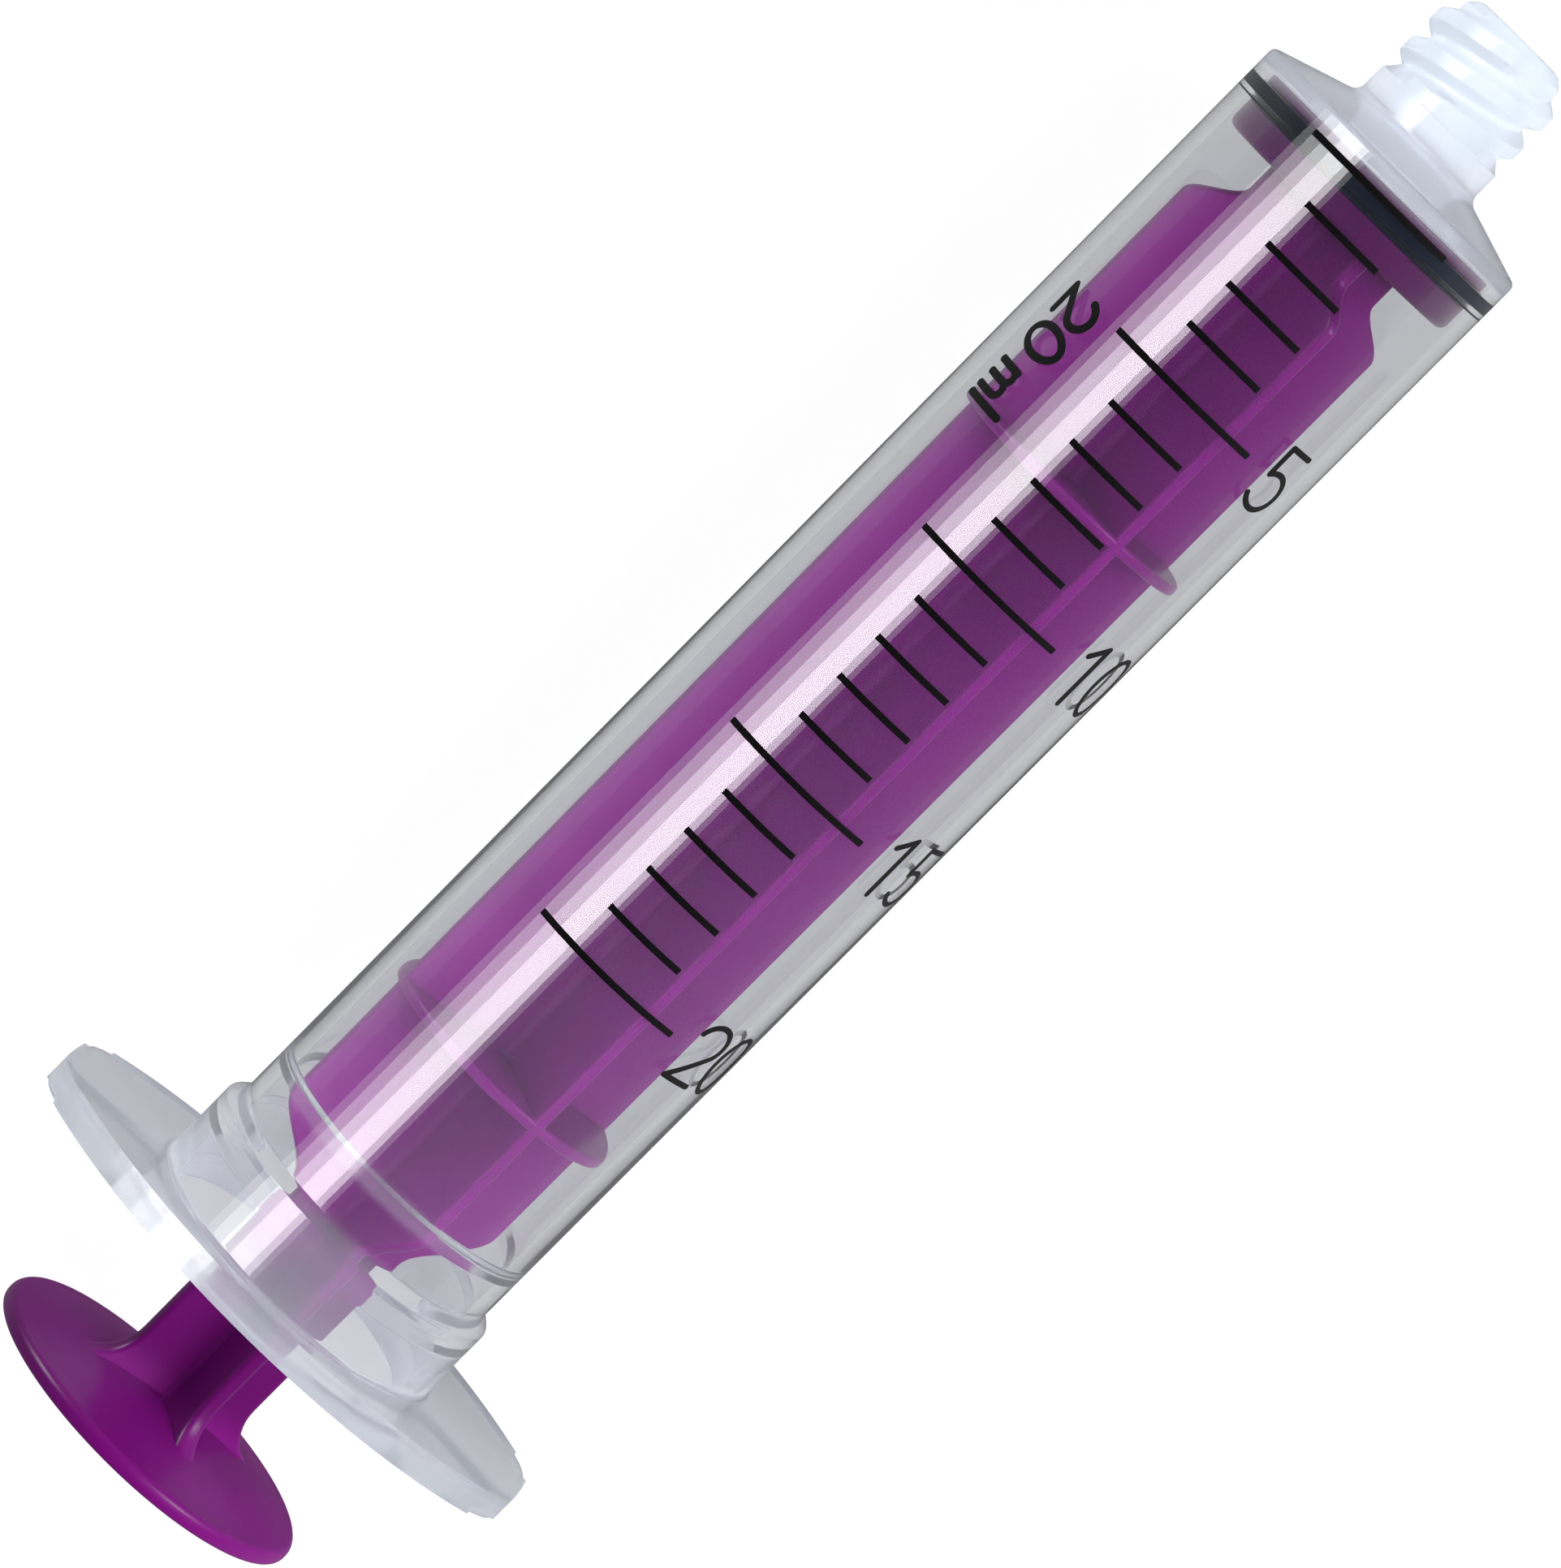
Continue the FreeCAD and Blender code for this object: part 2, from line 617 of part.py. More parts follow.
def glyph(character, width, height):
    """The strokes of one character in a cell of the given width and height."""
    across = width / 2
    middle = (across, height / 2)
    low_bowl = (across, height * 0.3)
    bowl = height * 0.3
    high_bowl = (across, height * 0.78)
    small = height * 0.22
    hump = width / 4
    x_height = height * 0.62
    strokes = {
        "0": lambda: [arc(middle, (across, height / 2), -90, 270)],
        "1": lambda: [
            line((width * 0.62, 0), (width * 0.62, height)),
            line((width * 0.62, height), (width * 0.2, height * 0.76)),
        ],
        "2": lambda: [
            arc((across, height - across), (across, across), -35, 165),
            line(on_circle((across, height - across), across, -35), (0, 0), (width, 0)),
        ],
        "3": lambda: [
            arc(low_bowl, (bowl, bowl), -150, 90),
            line((across, 2 * bowl), (width, height), (0, height)),
        ],
        "4": lambda: [
            line((width, height * 0.3), (0, height * 0.3), (width * 0.7, height)),
            line((width * 0.7, height), (width * 0.7, 0)),
        ],
        "5": lambda: [
            arc(low_bowl, (bowl, bowl), -150, 130),
            line(on_circle(low_bowl, bowl, 130), (width * 0.16, height), (width * 0.9, height)),
        ],
        "6": lambda: [
            arc(low_bowl, (bowl, bowl), -180, 180),
            line(on_circle(low_bowl, bowl, 170), (width * 0.7, height)),
        ],
        "7": lambda: [line((0, height), (width, height), (width * 0.3, 0))],
        "8": lambda: [
            arc(low_bowl, (bowl, bowl), -90, 270),
            arc(high_bowl, (small, small), -90, 270),
        ],
        "9": lambda: [
            arc((across, height - bowl), (bowl, bowl), -90, 270),
            line(on_circle((across, height - bowl), bowl, -10), (width * 0.3, 0)),
        ],
        "m": lambda: [
            line((0, 0), (0, x_height)),
            line((2 * hump, 0), (2 * hump, x_height - hump)),
            line((4 * hump, 0), (4 * hump, x_height - hump)),
            arc((hump, x_height - hump), (hump, hump), 0, 180),
            arc((3 * hump, x_height - hump), (hump, hump), 0, 180),
        ],
        "l": lambda: [line((0, 0), (0, height))],
    }
    return strokes[character]()


def pen_solids(wire, stroke):
    """A round pen drawn along a flat stroke, deep enough to cross the tube's skin."""
    depth = value("Sizes.tube_wall")
    rise = FreeCAD.Vector(0, 0, depth)
    solids = []
    for edge in wire.Edges:
        start = edge.valueAt(edge.FirstParameter)
        ahead = edge.tangentAt(edge.FirstParameter)
        side = FreeCAD.Vector(-ahead.y, ahead.x, 0) * (stroke / 2)
        corners = [start - side - rise, start + side - rise, start + side + rise, start - side + rise]
        nib = Part.makePolygon(corners + corners[:1])
        solids.append(Part.Wire([edge]).makePipeShell([nib], True, False))
        for end in edge.Vertexes:
            solids.append(Part.makeCylinder(stroke / 2, 2 * depth, end.Point - rise))
    return solids


def skin_text(text, width, gap, height, stroke, placement_of):
    """Characters side by side as ink on the tube. placement_of gives a cell's place from the
    distance read so far."""
    reach = value(TUBE) + value("Sizes.ink_thickness")
    length = value(MOUTH)
    axis = FreeCAD.Vector(1, 0, 0)
    skin = Part.makeCylinder(reach, length, point(0, 0), axis)
    skin = skin.cut(Part.makeCylinder(value(TUBE), length, point(0, 0), axis))
    inked = []
    read = 0.0
    for character in text:
        if character != " ":
            cell = 0 if character == "l" else width
            pens = [pen for wire in glyph(character, cell, height) for pen in pen_solids(wire, stroke)]
            shape = pens[0].fuse(pens[1:])
            shape.translate(point(-cell / 2, 0))
            shape.Placement = placement_of(read + cell / 2).multiply(shape.Placement)
            inked.append(shape.common(skin))
            read += cell + gap
        else:
            read += gap
    return inked


def on_skin(x, angle, right, up):
    """Placement of a reading plane that touches the tube at a station and an angle."""
    turn = math.radians(angle)
    outward = FreeCAD.Vector(0, -math.sin(turn), math.cos(turn))
    rotation = FreeCAD.Rotation(right, up, outward, "ZXY")
    return FreeCAD.Placement(FreeCAD.Vector(x, 0, 0) + outward * value(TUBE), rotation)


def make_scale_numerals():
    """Numerals beside the long lines, their tops towards the nozzle."""
    height = value("Sizes.numeral_height")
    step = round(value("Sizes.numeral_step"))
    inked = []
    for volume in range(step, math.floor(value("Sizes.nominal_volume")) + 1, step):
        foot = value(ZERO_LINE) - volume * value(LINE_PITCH) - height / 2

        def placement_of(read, foot=foot):
            angle = value("Sizes.numeral_angle") + math.degrees(read / value(TUBE))
            turn = math.radians(angle)
            right = FreeCAD.Vector(0, -math.cos(turn), -math.sin(turn))
            return on_skin(foot, angle, right, FreeCAD.Vector(1, 0, 0))

        inked += skin_text(
            str(volume), value("Sizes.numeral_width"), value("Sizes.numeral_gap"), height,
            value("Sizes.numeral_stroke"), placement_of)
    return print_feature("ScaleNumerals", "scale_numerals", Part.makeCompound(inked))


def make_volume_label():
    """The nominal volume, read from the nozzle towards the flange on the scale's other side."""
    start = value(ZERO_LINE) - value("Sizes.numeral_step") * value(LINE_PITCH)
    angle = value("Sizes.label_angle")
    turn = math.radians(angle)
    up = FreeCAD.Vector(0, -math.cos(turn), -math.sin(turn))

    def placement_of(read):
        return on_skin(start - read, angle, FreeCAD.Vector(-1, 0, 0), up)

    inked = skin_text(
        f"{math.floor(value('Sizes.nominal_volume'))} ml", value("Sizes.label_width"),
        value("Sizes.label_gap"), value("Sizes.label_height"), value("Sizes.label_stroke"),
        placement_of)
    return print_feature("VolumeLabel", "volume_label", Part.makeCompound(inked))


def print_feature(name, label, shape):
    """A printed layer as one named object of the document, placed with the barrel."""
    feature = doc.addObject("Part::Feature", name)
    feature.Label = label
    feature.Shape = shape
    feature.Placement = FreeCAD.Placement(
        FreeCAD.Vector(-value(MOUTH), 0, 0), FreeCAD.Rotation())
    return feature


# ---------------------------------------------------------------- build and export

subparts = [
    make_barrel(),
    make_plunger(),
    make_seal_ring(),
    make_scale_lines(),
    make_scale_numerals(),
    make_volume_label(),
]
doc.recompute()

for member in doc.Objects:
    if {"Invalid", "Error"} & set(member.State):
        raise RuntimeError(f"{member.Label} failed: {member.State}")
for subpart in subparts:
    if subpart.Shape.isNull() or not subpart.Shape.isValid():
        raise RuntimeError(f"{subpart.Label} has no valid shape")
    if not subpart.Shape.Solids:
        raise RuntimeError(f"{subpart.Label} holds no solid")

os.makedirs("parts", exist_ok=True)
for subpart in subparts:
    subpart.Shape.exportStep(f"parts/{subpart.Label}.step")
    box = subpart.Shape.BoundBox
    print(f"{subpart.Label}: {len(subpart.Shape.Solids)} solids, {subpart.Shape.Volume:.2f} mm3, "
          f"x {box.XMin:.2f} to {box.XMax:.2f}")

bead_rear_of_head = value(f"{MOUTH} + Sizes.stem_standoff - {HEAD_REAR}")
bead_front = value(f"{MOUTH} - Sizes.bead_position - Sizes.bead_width / 2")
print(f"bead to head at rest: {bead_front - bead_rear_of_head:.3f} mm")
print(f"line pitch {value(LINE_PITCH):.4f} mm, scale {value(SCALE_LENGTH):.3f} mm")
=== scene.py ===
"""Oral syringe: the looks of a clear barrel, its purple plunger and its rubber seal.

Lengths in this file are millimetres unless a name says otherwise, and each mesh is brought to
metres when it is finished. The syringe lies along X with its nozzle's mouth at the origin.
"""
import json
import math

import bmesh
import bpy
from bpy.props import FloatProperty, IntProperty, PointerProperty, StringProperty
from bpy.types import Operator, Panel, PropertyGroup
from mathutils import Matrix, Vector


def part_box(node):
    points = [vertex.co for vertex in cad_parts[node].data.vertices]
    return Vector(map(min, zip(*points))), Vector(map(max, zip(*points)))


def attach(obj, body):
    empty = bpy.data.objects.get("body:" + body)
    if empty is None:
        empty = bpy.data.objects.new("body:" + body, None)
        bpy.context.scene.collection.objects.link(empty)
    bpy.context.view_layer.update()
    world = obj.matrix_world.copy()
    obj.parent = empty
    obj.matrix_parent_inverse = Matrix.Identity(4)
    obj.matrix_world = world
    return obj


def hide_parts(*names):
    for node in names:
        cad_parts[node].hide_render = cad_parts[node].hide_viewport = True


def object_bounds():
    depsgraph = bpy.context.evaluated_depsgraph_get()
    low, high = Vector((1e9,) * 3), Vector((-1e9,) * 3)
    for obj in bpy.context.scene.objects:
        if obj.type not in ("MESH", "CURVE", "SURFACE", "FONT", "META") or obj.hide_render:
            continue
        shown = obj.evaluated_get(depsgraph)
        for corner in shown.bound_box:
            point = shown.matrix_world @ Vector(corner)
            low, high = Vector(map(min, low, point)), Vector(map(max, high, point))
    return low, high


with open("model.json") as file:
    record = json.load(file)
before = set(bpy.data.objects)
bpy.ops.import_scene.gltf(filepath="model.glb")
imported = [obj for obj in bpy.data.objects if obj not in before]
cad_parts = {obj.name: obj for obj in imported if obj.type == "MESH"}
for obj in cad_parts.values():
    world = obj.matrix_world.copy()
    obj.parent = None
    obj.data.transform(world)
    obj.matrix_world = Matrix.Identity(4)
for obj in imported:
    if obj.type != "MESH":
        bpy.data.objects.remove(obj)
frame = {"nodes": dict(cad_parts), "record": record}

bl_info = {
    "name": "Oral Syringe",
    "version": (1, 0, 0),
    "blender": (4, 5, 0),
    "location": "View3D > Sidebar > Syringe",
    "description": "Builds the moulded and printed pieces of an oral syringe",
    "category": "Add Mesh",
}

CAD_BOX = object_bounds()
MM = 0.001
ARC_STEPS = 6
SHARP_EDGE = math.radians(34)
FULL_TURN = 2 * math.pi

MOUNTS = {mount["name"]: mount for mount in frame["record"]["mounts"]}


def span(node):
    """Where a node starts and ends along X, in millimetres."""
    low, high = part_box(node)
    return low.x / MM, high.x / MM


FLANGE_REAR, MOUTH = span("barrel")
PLUNGER_REAR, PLUNGER_FRONT = span("plunger")
SEAL_REAR, SEAL_FRONT = span("seal_ring")
TUBE = MOUNTS["barrel_tube"]["dims"]["r_mm"]
SOCKET = MOUNTS["nozzle_socket"]["dims"]["r_mm"]
SOCKET_DEPTH = MOUNTS["nozzle_socket"]["dims"]["length_mm"]
FLANGE_FRONT = MOUNTS["flange_front_face"]["pos_m"][0] / MM
HALF_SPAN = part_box("barrel")[1].y / MM
HALF_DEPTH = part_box("barrel")[1].z / MM
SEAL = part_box("seal_ring")[1].y / MM


# ---------------------------------------------------------------- sizes and colours

def length(name, description, default):
    """A length in mm that can be set in the panel."""
    return FloatProperty(name=name, description=f"{description} in mm", default=default)


def segments(description, default):
    """A number of segments round a turned shape."""
    return IntProperty(name="Segments", description=description, default=default, min=48)


class BarrelSizes(PropertyGroup):
    """The clear moulding's wall, mouth, shoulder and thread."""
    turns: segments("Segments round the barrel", 288)
    wall: length("Wall", "Thickness of the tube's wall", 1.0)
    collar: length("Collar", "Radius of the collar", 11.53)
    lead_in: length("Lead-in", "Radius of the wide mouth", 10.30)
    bead: length("Bead", "Height of the retaining bead", 0.4)
    boss: length("Boss", "Radius of the boss and thread crest", 4.95)
    nozzle: length("Nozzle", "Radius at the thread's root", 4.04)
    channel: length("Channel", "Radius of the fluid channel", 1.5)
    pitch: length("Thread pitch", "Crest to crest of the two starts", 2.55)


class PlungerSizes(PropertyGroup):
    """The plunger's ribs, discs and head."""
    turns: segments("Segments round the discs", 192)
    turn: FloatProperty(name="Rib angle", description="Turn of the ribs about the axis",
                        default=math.radians(28.5), subtype="ANGLE", unit="ROTATION")
    guide: length("Ribs", "Radius of ribs and guide discs", 9.15)
    head: length("Head", "Radius of the head's discs", 9.40)
    groove: length("Groove", "Radius of the seal's groove", 7.20)
    stem: length("Stem", "Radius of the narrow stem", 4.95)
    neck: length("Neck", "Radius of the neck", 6.0)
    thumb: length("Thumb disc", "Radius of the thumb disc", 12.55)


class FinishColours(PropertyGroup):
    """Colours of the plastics, the rubber and the ink, as sRGB hex."""
    clear: StringProperty(name="Clear", description="Clear polypropylene", default="#EDEEF1")
    haze: StringProperty(name="Haze", description="Milky polypropylene", default="#EBF1F8")
    purple: StringProperty(name="Purple", description="Coloured polypropylene", default="#9A1499")
    rubber: StringProperty(name="Rubber", description="Seal elastomer", default="#0B1629")
    ink: StringProperty(name="Ink", description="Pad-printed ink", default="#0E0B0E")
    floor: StringProperty(name="Floor", description="Studio table", default="#FFFFFF")


# ---------------------------------------------------------------- mesh helpers

def rounded(corners, closed=True):
    """An outline's points: each corner is (x, y) or (x, y, radius of its rounding)."""
    points = []
    count = len(corners)
    for number, corner in enumerate(corners):
        here = Vector(corner[:2])
        at_end = not closed and number in (0, count - 1)
        if len(corner) == 2 or at_end:
            points.append(here)
            continue
        before = (Vector(corners[number - 1][:2]) - here).normalized()
        after = (Vector(corners[(number + 1) % count][:2]) - here).normalized()
        half_angle = before.angle(after) / 2
        centre = here + (before + after).normalized() * corner[2] / math.sin(half_angle)
        start = here + before * corner[2] / math.tan(half_angle) - centre
        end = here + after * corner[2] / math.tan(half_angle) - centre
        swing = math.atan2(start.cross(end), start.dot(end))
        for step in range(ARC_STEPS + 1):
            points.append(centre + Matrix.Rotation(swing * step / ARC_STEPS, 2) @ start)
    return points


def arc_between(start, end, bulge, steps=ARC_STEPS):
    """Points of a shallow arc from start to end, standing bulge away from its chord."""
    start, end = Vector(start), Vector(end)
    side = Vector((start.y - end.y, end.x - start.x)).normalized()
    return [start.lerp(end, step / steps) + side * bulge * (1 - (2 * step / steps - 1) ** 2)
            for step in range(steps + 1)]


def s_stations(x_from, r_from, x_to, r_to, steps=10):
    """Stations (x, radius) of a slope that is level at both ends."""
    stations = []
    for step in range(steps + 1):
        share = step / steps
        ease = (1 - math.cos(math.pi * share)) / 2
        stations.append((x_from + (x_to - x_from) * share, r_from + (r_to - r_from) * ease))
    return stations


def turned(bm, outline, turns, closed=True):
    """Turns an outline (x, radius) once round the X axis."""
    verts = [bm.verts.new((x, 0, radius)) for x, radius in outline]
    pairs = list(zip(verts, verts[1:]))
    if closed:
        pairs.append((verts[-1], verts[0]))
    edges = [bm.edges.new(pair) for pair in pairs]
    bmesh.ops.spin(bm, geom=verts + edges, cent=(0, 0, 0), axis=(1, 0, 0), dvec=(0, 0, 0),
                   angle=FULL_TURN, steps=turns, use_merge=True, use_duplicate=False)


def close_poles(bm):
    """Merges the points that a spun outline leaves on the axis."""
    axis_points = [vert for vert in bm.verts if math.hypot(vert.co.y, vert.co.z) < 1e-6]
    bmesh.ops.remove_doubles(bm, verts=axis_points, dist=1e-5)


def mesh_object(name, bm, material, body, nodes):
    """Finishes a mesh: outward faces, metres, smooth shading, material and body, and hides the CAD
    nodes it stands for.
    """
    bmesh.ops.recalc_face_normals(bm, faces=bm.faces)
    bmesh.ops.scale(bm, vec=(MM, MM, MM), verts=bm.verts)
    mesh = bpy.data.meshes.new(name)
    bm.to_mesh(mesh)
    bm.free()
    mesh.materials.append(material)
    mesh.shade_smooth()
    mesh.set_sharp_from_angle(angle=SHARP_EDGE)
    piece = bpy.data.objects.new(name, mesh)
    bpy.context.scene.collection.objects.link(piece)
    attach(piece, body)
    if nodes:
        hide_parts(*nodes)
    return piece


def fuse(pieces):
    """Joins overlapping closed meshes into the first one's single skin."""
    base = pieces[0]
    for other in pieces[1:]:
        joint = base.modifiers.new("Fuse", "BOOLEAN")
        joint.operation = "UNION"
        joint.solver = "EXACT"
        joint.object = other
        bpy.context.view_layer.update()
        graph = bpy.context.evaluated_depsgraph_get()
        joined = bpy.data.meshes.new_from_object(base.evaluated_get(graph))
        base.modifiers.clear()
        base.data = joined
        bpy.data.objects.remove(other)
    return base


# ---------------------------------------------------------------- material helpers

def linear(hex_colour):
    """An sRGB hex colour as linear RGBA."""
    channels = [int(hex_colour[i:i + 2], 16) / 255 for i in (1, 3, 5)]
    return tuple(c / 12.92 if c <= 0.04045 else ((c + 0.055) / 1.055) ** 2.4
                 for c in channels) + (1,)


def new_material(name):
    """An empty node material. Returns it with its tree."""
    material = bpy.data.materials.new(name)
    material.use_nodes = True
    material.node_tree.nodes.clear()
    return material, material.node_tree


def add_node(tree, kind, sockets=None, links=None, **fields):
    """Adds a node, sets its fields and sockets and links its inputs from other nodes' outputs."""
    node = tree.nodes.new(kind)
    for field, setting in fields.items():
        setattr(node, field, setting)
    for socket, setting in (sockets or {}).items():
        node.inputs[socket].default_value = setting
    for socket, output in (links or {}).items():
        tree.links.new(output, node.inputs[socket])
    return node


def soft_clouds(tree, size_mm, detail=2.0):
    """Soft clouds of about this size, as a value between 0 and 1."""
    place = add_node(tree, "ShaderNodeTexCoord")
    noise = add_node(tree, "ShaderNodeTexNoise", {"Scale": 1 / (size_mm * MM), "Detail": detail},
                     {"Vector": place.outputs["Object"]})
    return noise.outputs["Fac"]


def moulded_skin(tree, size_mm, depth_mm):
    """The faint unevenness of a moulded surface, as a normal."""
    waves = soft_clouds(tree, size_mm)
    skin = add_node(tree, "ShaderNodeBump", {"Strength": 1.0, "Distance": depth_mm * MM},
                    {"Height": waves})
    return skin.outputs["Normal"]


def ranged(tree, value, low, high):
    """Spreads a value between 0 and 1 from low to high."""
    spread = add_node(tree, "ShaderNodeMapRange", {"To Min": low, "To Max": high},
                      {"Value": value})
    return spread.outputs["Result"]


def mixed(tree, share, first, second):
    """Mixes two shaders: share is a number, or another node's output."""
    if isinstance(share, float):
        mix = add_node(tree, "ShaderNodeMixShader", {"Fac": share}, {1: first, 2: second})
    else:
        mix = add_node(tree, "ShaderNodeMixShader", links={"Fac": share, 1: first, 2: second})
    return mix.outputs["Shader"]


def multiplied(tree, one, other):
    """One colour times another."""
    product = add_node(tree, "ShaderNodeMix", {"Factor": 1.0}, {6: one, 7: other},
                       data_type="RGBA", blend_type="MULTIPLY")
    return product.outputs[2]


def tinted(base, factor):
    """A linear colour made darker or lighter."""
    return tuple(min(channel * factor, 1) for channel in base[:3]) + (1,)


# ---------------------------------------------------------------- finishes

def along_axis(tree, start, end, stops):
    """A value that changes along X from start to end, in mm: stops are (mm from start, value)."""
    place = add_node(tree, "ShaderNodeTexCoord")
    axes = add_node(tree, "ShaderNodeSeparateXYZ", links={"Vector": place.outputs["Object"]})
    along = add_node(tree, "ShaderNodeMapRange", {"From Min": start * MM, "From Max": end * MM},
                     {"Value": axes.outputs["X"]})
    shade = add_node(tree, "ShaderNodeValToRGB", links={"Fac": along.outputs["Result"]})
    ramp = shade.color_ramp
    for number, (distance, amount) in enumerate(stops):
        share = distance / (end - start)
        stop = ramp.elements[number] if number < 2 else ramp.elements.new(share)
        stop.position = share
        stop.color = (amount, amount, amount, 1)
    return shade.outputs["Color"]


# Milkiness and roughness of the clear plastic, from the flange's rear face to the mouth.
MILK = ((0.0, 0.36), (1.5, 0.32), (2.1, 0.18), (7.4, 0.13), (8.6, 0.035), (11.2, 0.03),
        (11.5, 0.11), (12.3, 0.11), (12.6, 0.045), (60.0, 0.018), (90.0, 0.010),
        (100.3, 0.010), (101.2, 0.22), (104.0, 0.34), (105.0, 0.52), (113.0, 0.54))
FROST = ((0.0, 0.06), (2.4, 0.04), (3.2, 0.02), (10.9, 0.015), (11.4, 0.10), (12.4, 0.10),
         (12.9, 0.015), (100.3, 0.012), (102.0, 0.04), (113.0, 0.06))


def clear_polypropylene(colours):
    """Clear polypropylene, injection moulded: polished and glassy on the tube, where the wall
    is thin and cools fast, and milky where the plastic is thick: flange, shoulder and nozzle."""
    material, tree = new_material("clear_polypropylene_moulded")
    milk = along_axis(tree, FLANGE_REAR, MOUTH, MILK)
    frost = along_axis(tree, FLANGE_REAR, MOUTH, FROST)
    uneven = ranged(tree, soft_clouds(tree, 12), 0.85, 1.15)
    frosting = add_node(tree, "ShaderNodeMath", links={0: frost, 1: uneven},
                        operation="MULTIPLY")
    glass = add_node(tree, "ShaderNodeBsdfPrincipled",
                     {"Base Color": linear(colours.clear), "IOR": 1.49, "Transmission Weight": 1.0},
                     {"Roughness": frosting.outputs["Value"]})
    scatter = add_node(tree, "ShaderNodeBsdfTranslucent", {"Color": linear(colours.haze)})
    chalk = add_node(tree, "ShaderNodeBsdfDiffuse", {"Color": linear(colours.haze)})
    haze = mixed(tree, 0.5, scatter.outputs["BSDF"], chalk.outputs["BSDF"])
    body = mixed(tree, milk, glass.outputs["BSDF"], haze)
    # Lamps shine straight through the wall, so the plunger inside is lit.
    ray = add_node(tree, "ShaderNodeLightPath")
    open_way = add_node(tree, "ShaderNodeBsdfTransparent", {"Color": (1, 1, 1, 1)})
    wall = mixed(tree, ray.outputs["Is Shadow Ray"], body, open_way.outputs["BSDF"])
    add_node(tree, "ShaderNodeOutputMaterial", links={"Surface": wall})
    return material


# Painted shade on the purple along the axis, from the thumb disc's rear rim to the head's front
# face: darker on the stem just in front of the thumb disc and on the head.
PAINTED_SHADE_ALONG_AXIS = ((0.0, 0.85), (2.0, 0.80), (4.5, 0.50), (12.8, 0.50), (16.0, 0.80), (24.0, 0.90),
         (80.0, 0.80), (108.4, 0.70), (109.4, 0.32), (113.5, 0.30))


def purple_polypropylene(colours):
    """Purple polypropylene, injection moulded: a satin gloss with a slightly deep, waxy colour that
    gathers in soft clouds, and faint flow waves that bend the reflections. Painted shade darkens
    the purple along the axis, on the stem just in front of the thumb disc and on the head."""
    material, tree = new_material("purple_polypropylene_moulded")
    skin = moulded_skin(tree, 4.0, 0.006)
    clouds = soft_clouds(tree, 14, 3.0)
    base = linear(colours.purple)
    tint = add_node(tree, "ShaderNodeValToRGB", links={"Fac": clouds})
    for stop, place, factor in zip(tint.color_ramp.elements, (0.25, 0.75), (0.88, 1.08)):
        stop.position = place
        stop.color = tinted(base, factor)
    # Painted shade: the purple is multiplied darker along the axis, beside the thumb disc and on
    # the head.
    painted_shade = along_axis(tree, PLUNGER_REAR, PLUNGER_FRONT, PAINTED_SHADE_ALONG_AXIS)
    shaded_purple = multiplied(tree, tint.outputs["Color"], painted_shade)
    plastic = add_node(tree, "ShaderNodeBsdfPrincipled",
                       {"IOR": 1.49, "Specular IOR Level": 0.2, "Subsurface Weight": 0.25,
                        "Subsurface Scale": 0.6 * MM, "Subsurface Radius": (1.0, 0.3, 1.0)},
                       {"Base Color": shaded_purple, "Roughness": ranged(tree, clouds, 0.26, 0.36),
                        "Normal": skin})
    add_node(tree, "ShaderNodeOutputMaterial", links={"Surface": plastic.outputs["BSDF"]})
    return material


def seal_elastomer(colours):
    """Dark blue-black elastomer, moulded: smooth, with the broad soft sheen of oiled rubber."""
    material, tree = new_material("seal_elastomer_moulded")
    skin = moulded_skin(tree, 0.5, 0.01)
    sheen = ranged(tree, soft_clouds(tree, 2.5, 4.0), 0.34, 0.52)
    rubber = add_node(tree, "ShaderNodeBsdfPrincipled",
                      {"Base Color": linear(colours.rubber), "IOR": 1.52,
                       "Specular IOR Level": 0.3},
                      {"Roughness": sheen, "Normal": skin})
    add_node(tree, "ShaderNodeOutputMaterial", links={"Surface": rubber.outputs["BSDF"]})
    return material


def pad_printed_ink(colours):
    """Black solvent ink, pad printed: thin, nearly matt, a little uneven in its cover."""
    material, tree = new_material("black_ink_pad_printed")
    cover = soft_clouds(tree, 0.3, 3.0)
    base = linear(colours.ink)
    tone = add_node(tree, "ShaderNodeValToRGB", links={"Fac": cover})
    for stop, factor in zip(tone.color_ramp.elements, (1.0, 2.2)):
        stop.color = tinted(base, factor)
    ink = add_node(tree, "ShaderNodeBsdfPrincipled", {"IOR": 1.48},
                   {"Base Color": tone.outputs["Color"],
                    "Roughness": ranged(tree, cover, 0.40, 0.62)})
    add_node(tree, "ShaderNodeOutputMaterial", links={"Surface": ink.outputs["BSDF"]})
    return material


def pale_table(colours):
    """Back-lit white acrylic table: pale all over, with hardly a shadow on it. It lights the
    syringe less than it shows, as a real table does that is masked round the object."""
    material, tree = new_material("white_acrylic_table")
    ray = add_node(tree, "ShaderNodeLightPath")
    top = add_node(tree, "ShaderNodeBsdfPrincipled",
                   {"Base Color": (0.12, 0.12, 0.12, 1), "Specular IOR Level": 0.0,
                    "Emission Color": linear(colours.floor)},
                   {"Roughness": ranged(tree, soft_clouds(tree, 60), 0.7, 0.85),
                    "Emission Strength": ranged(tree, ray.outputs["Is Camera Ray"], 0.60, 0.96)})
    add_node(tree, "ShaderNodeOutputMaterial", links={"Surface": top.outputs["BSDF"]})
    return material


# ---------------------------------------------------------------- barrel

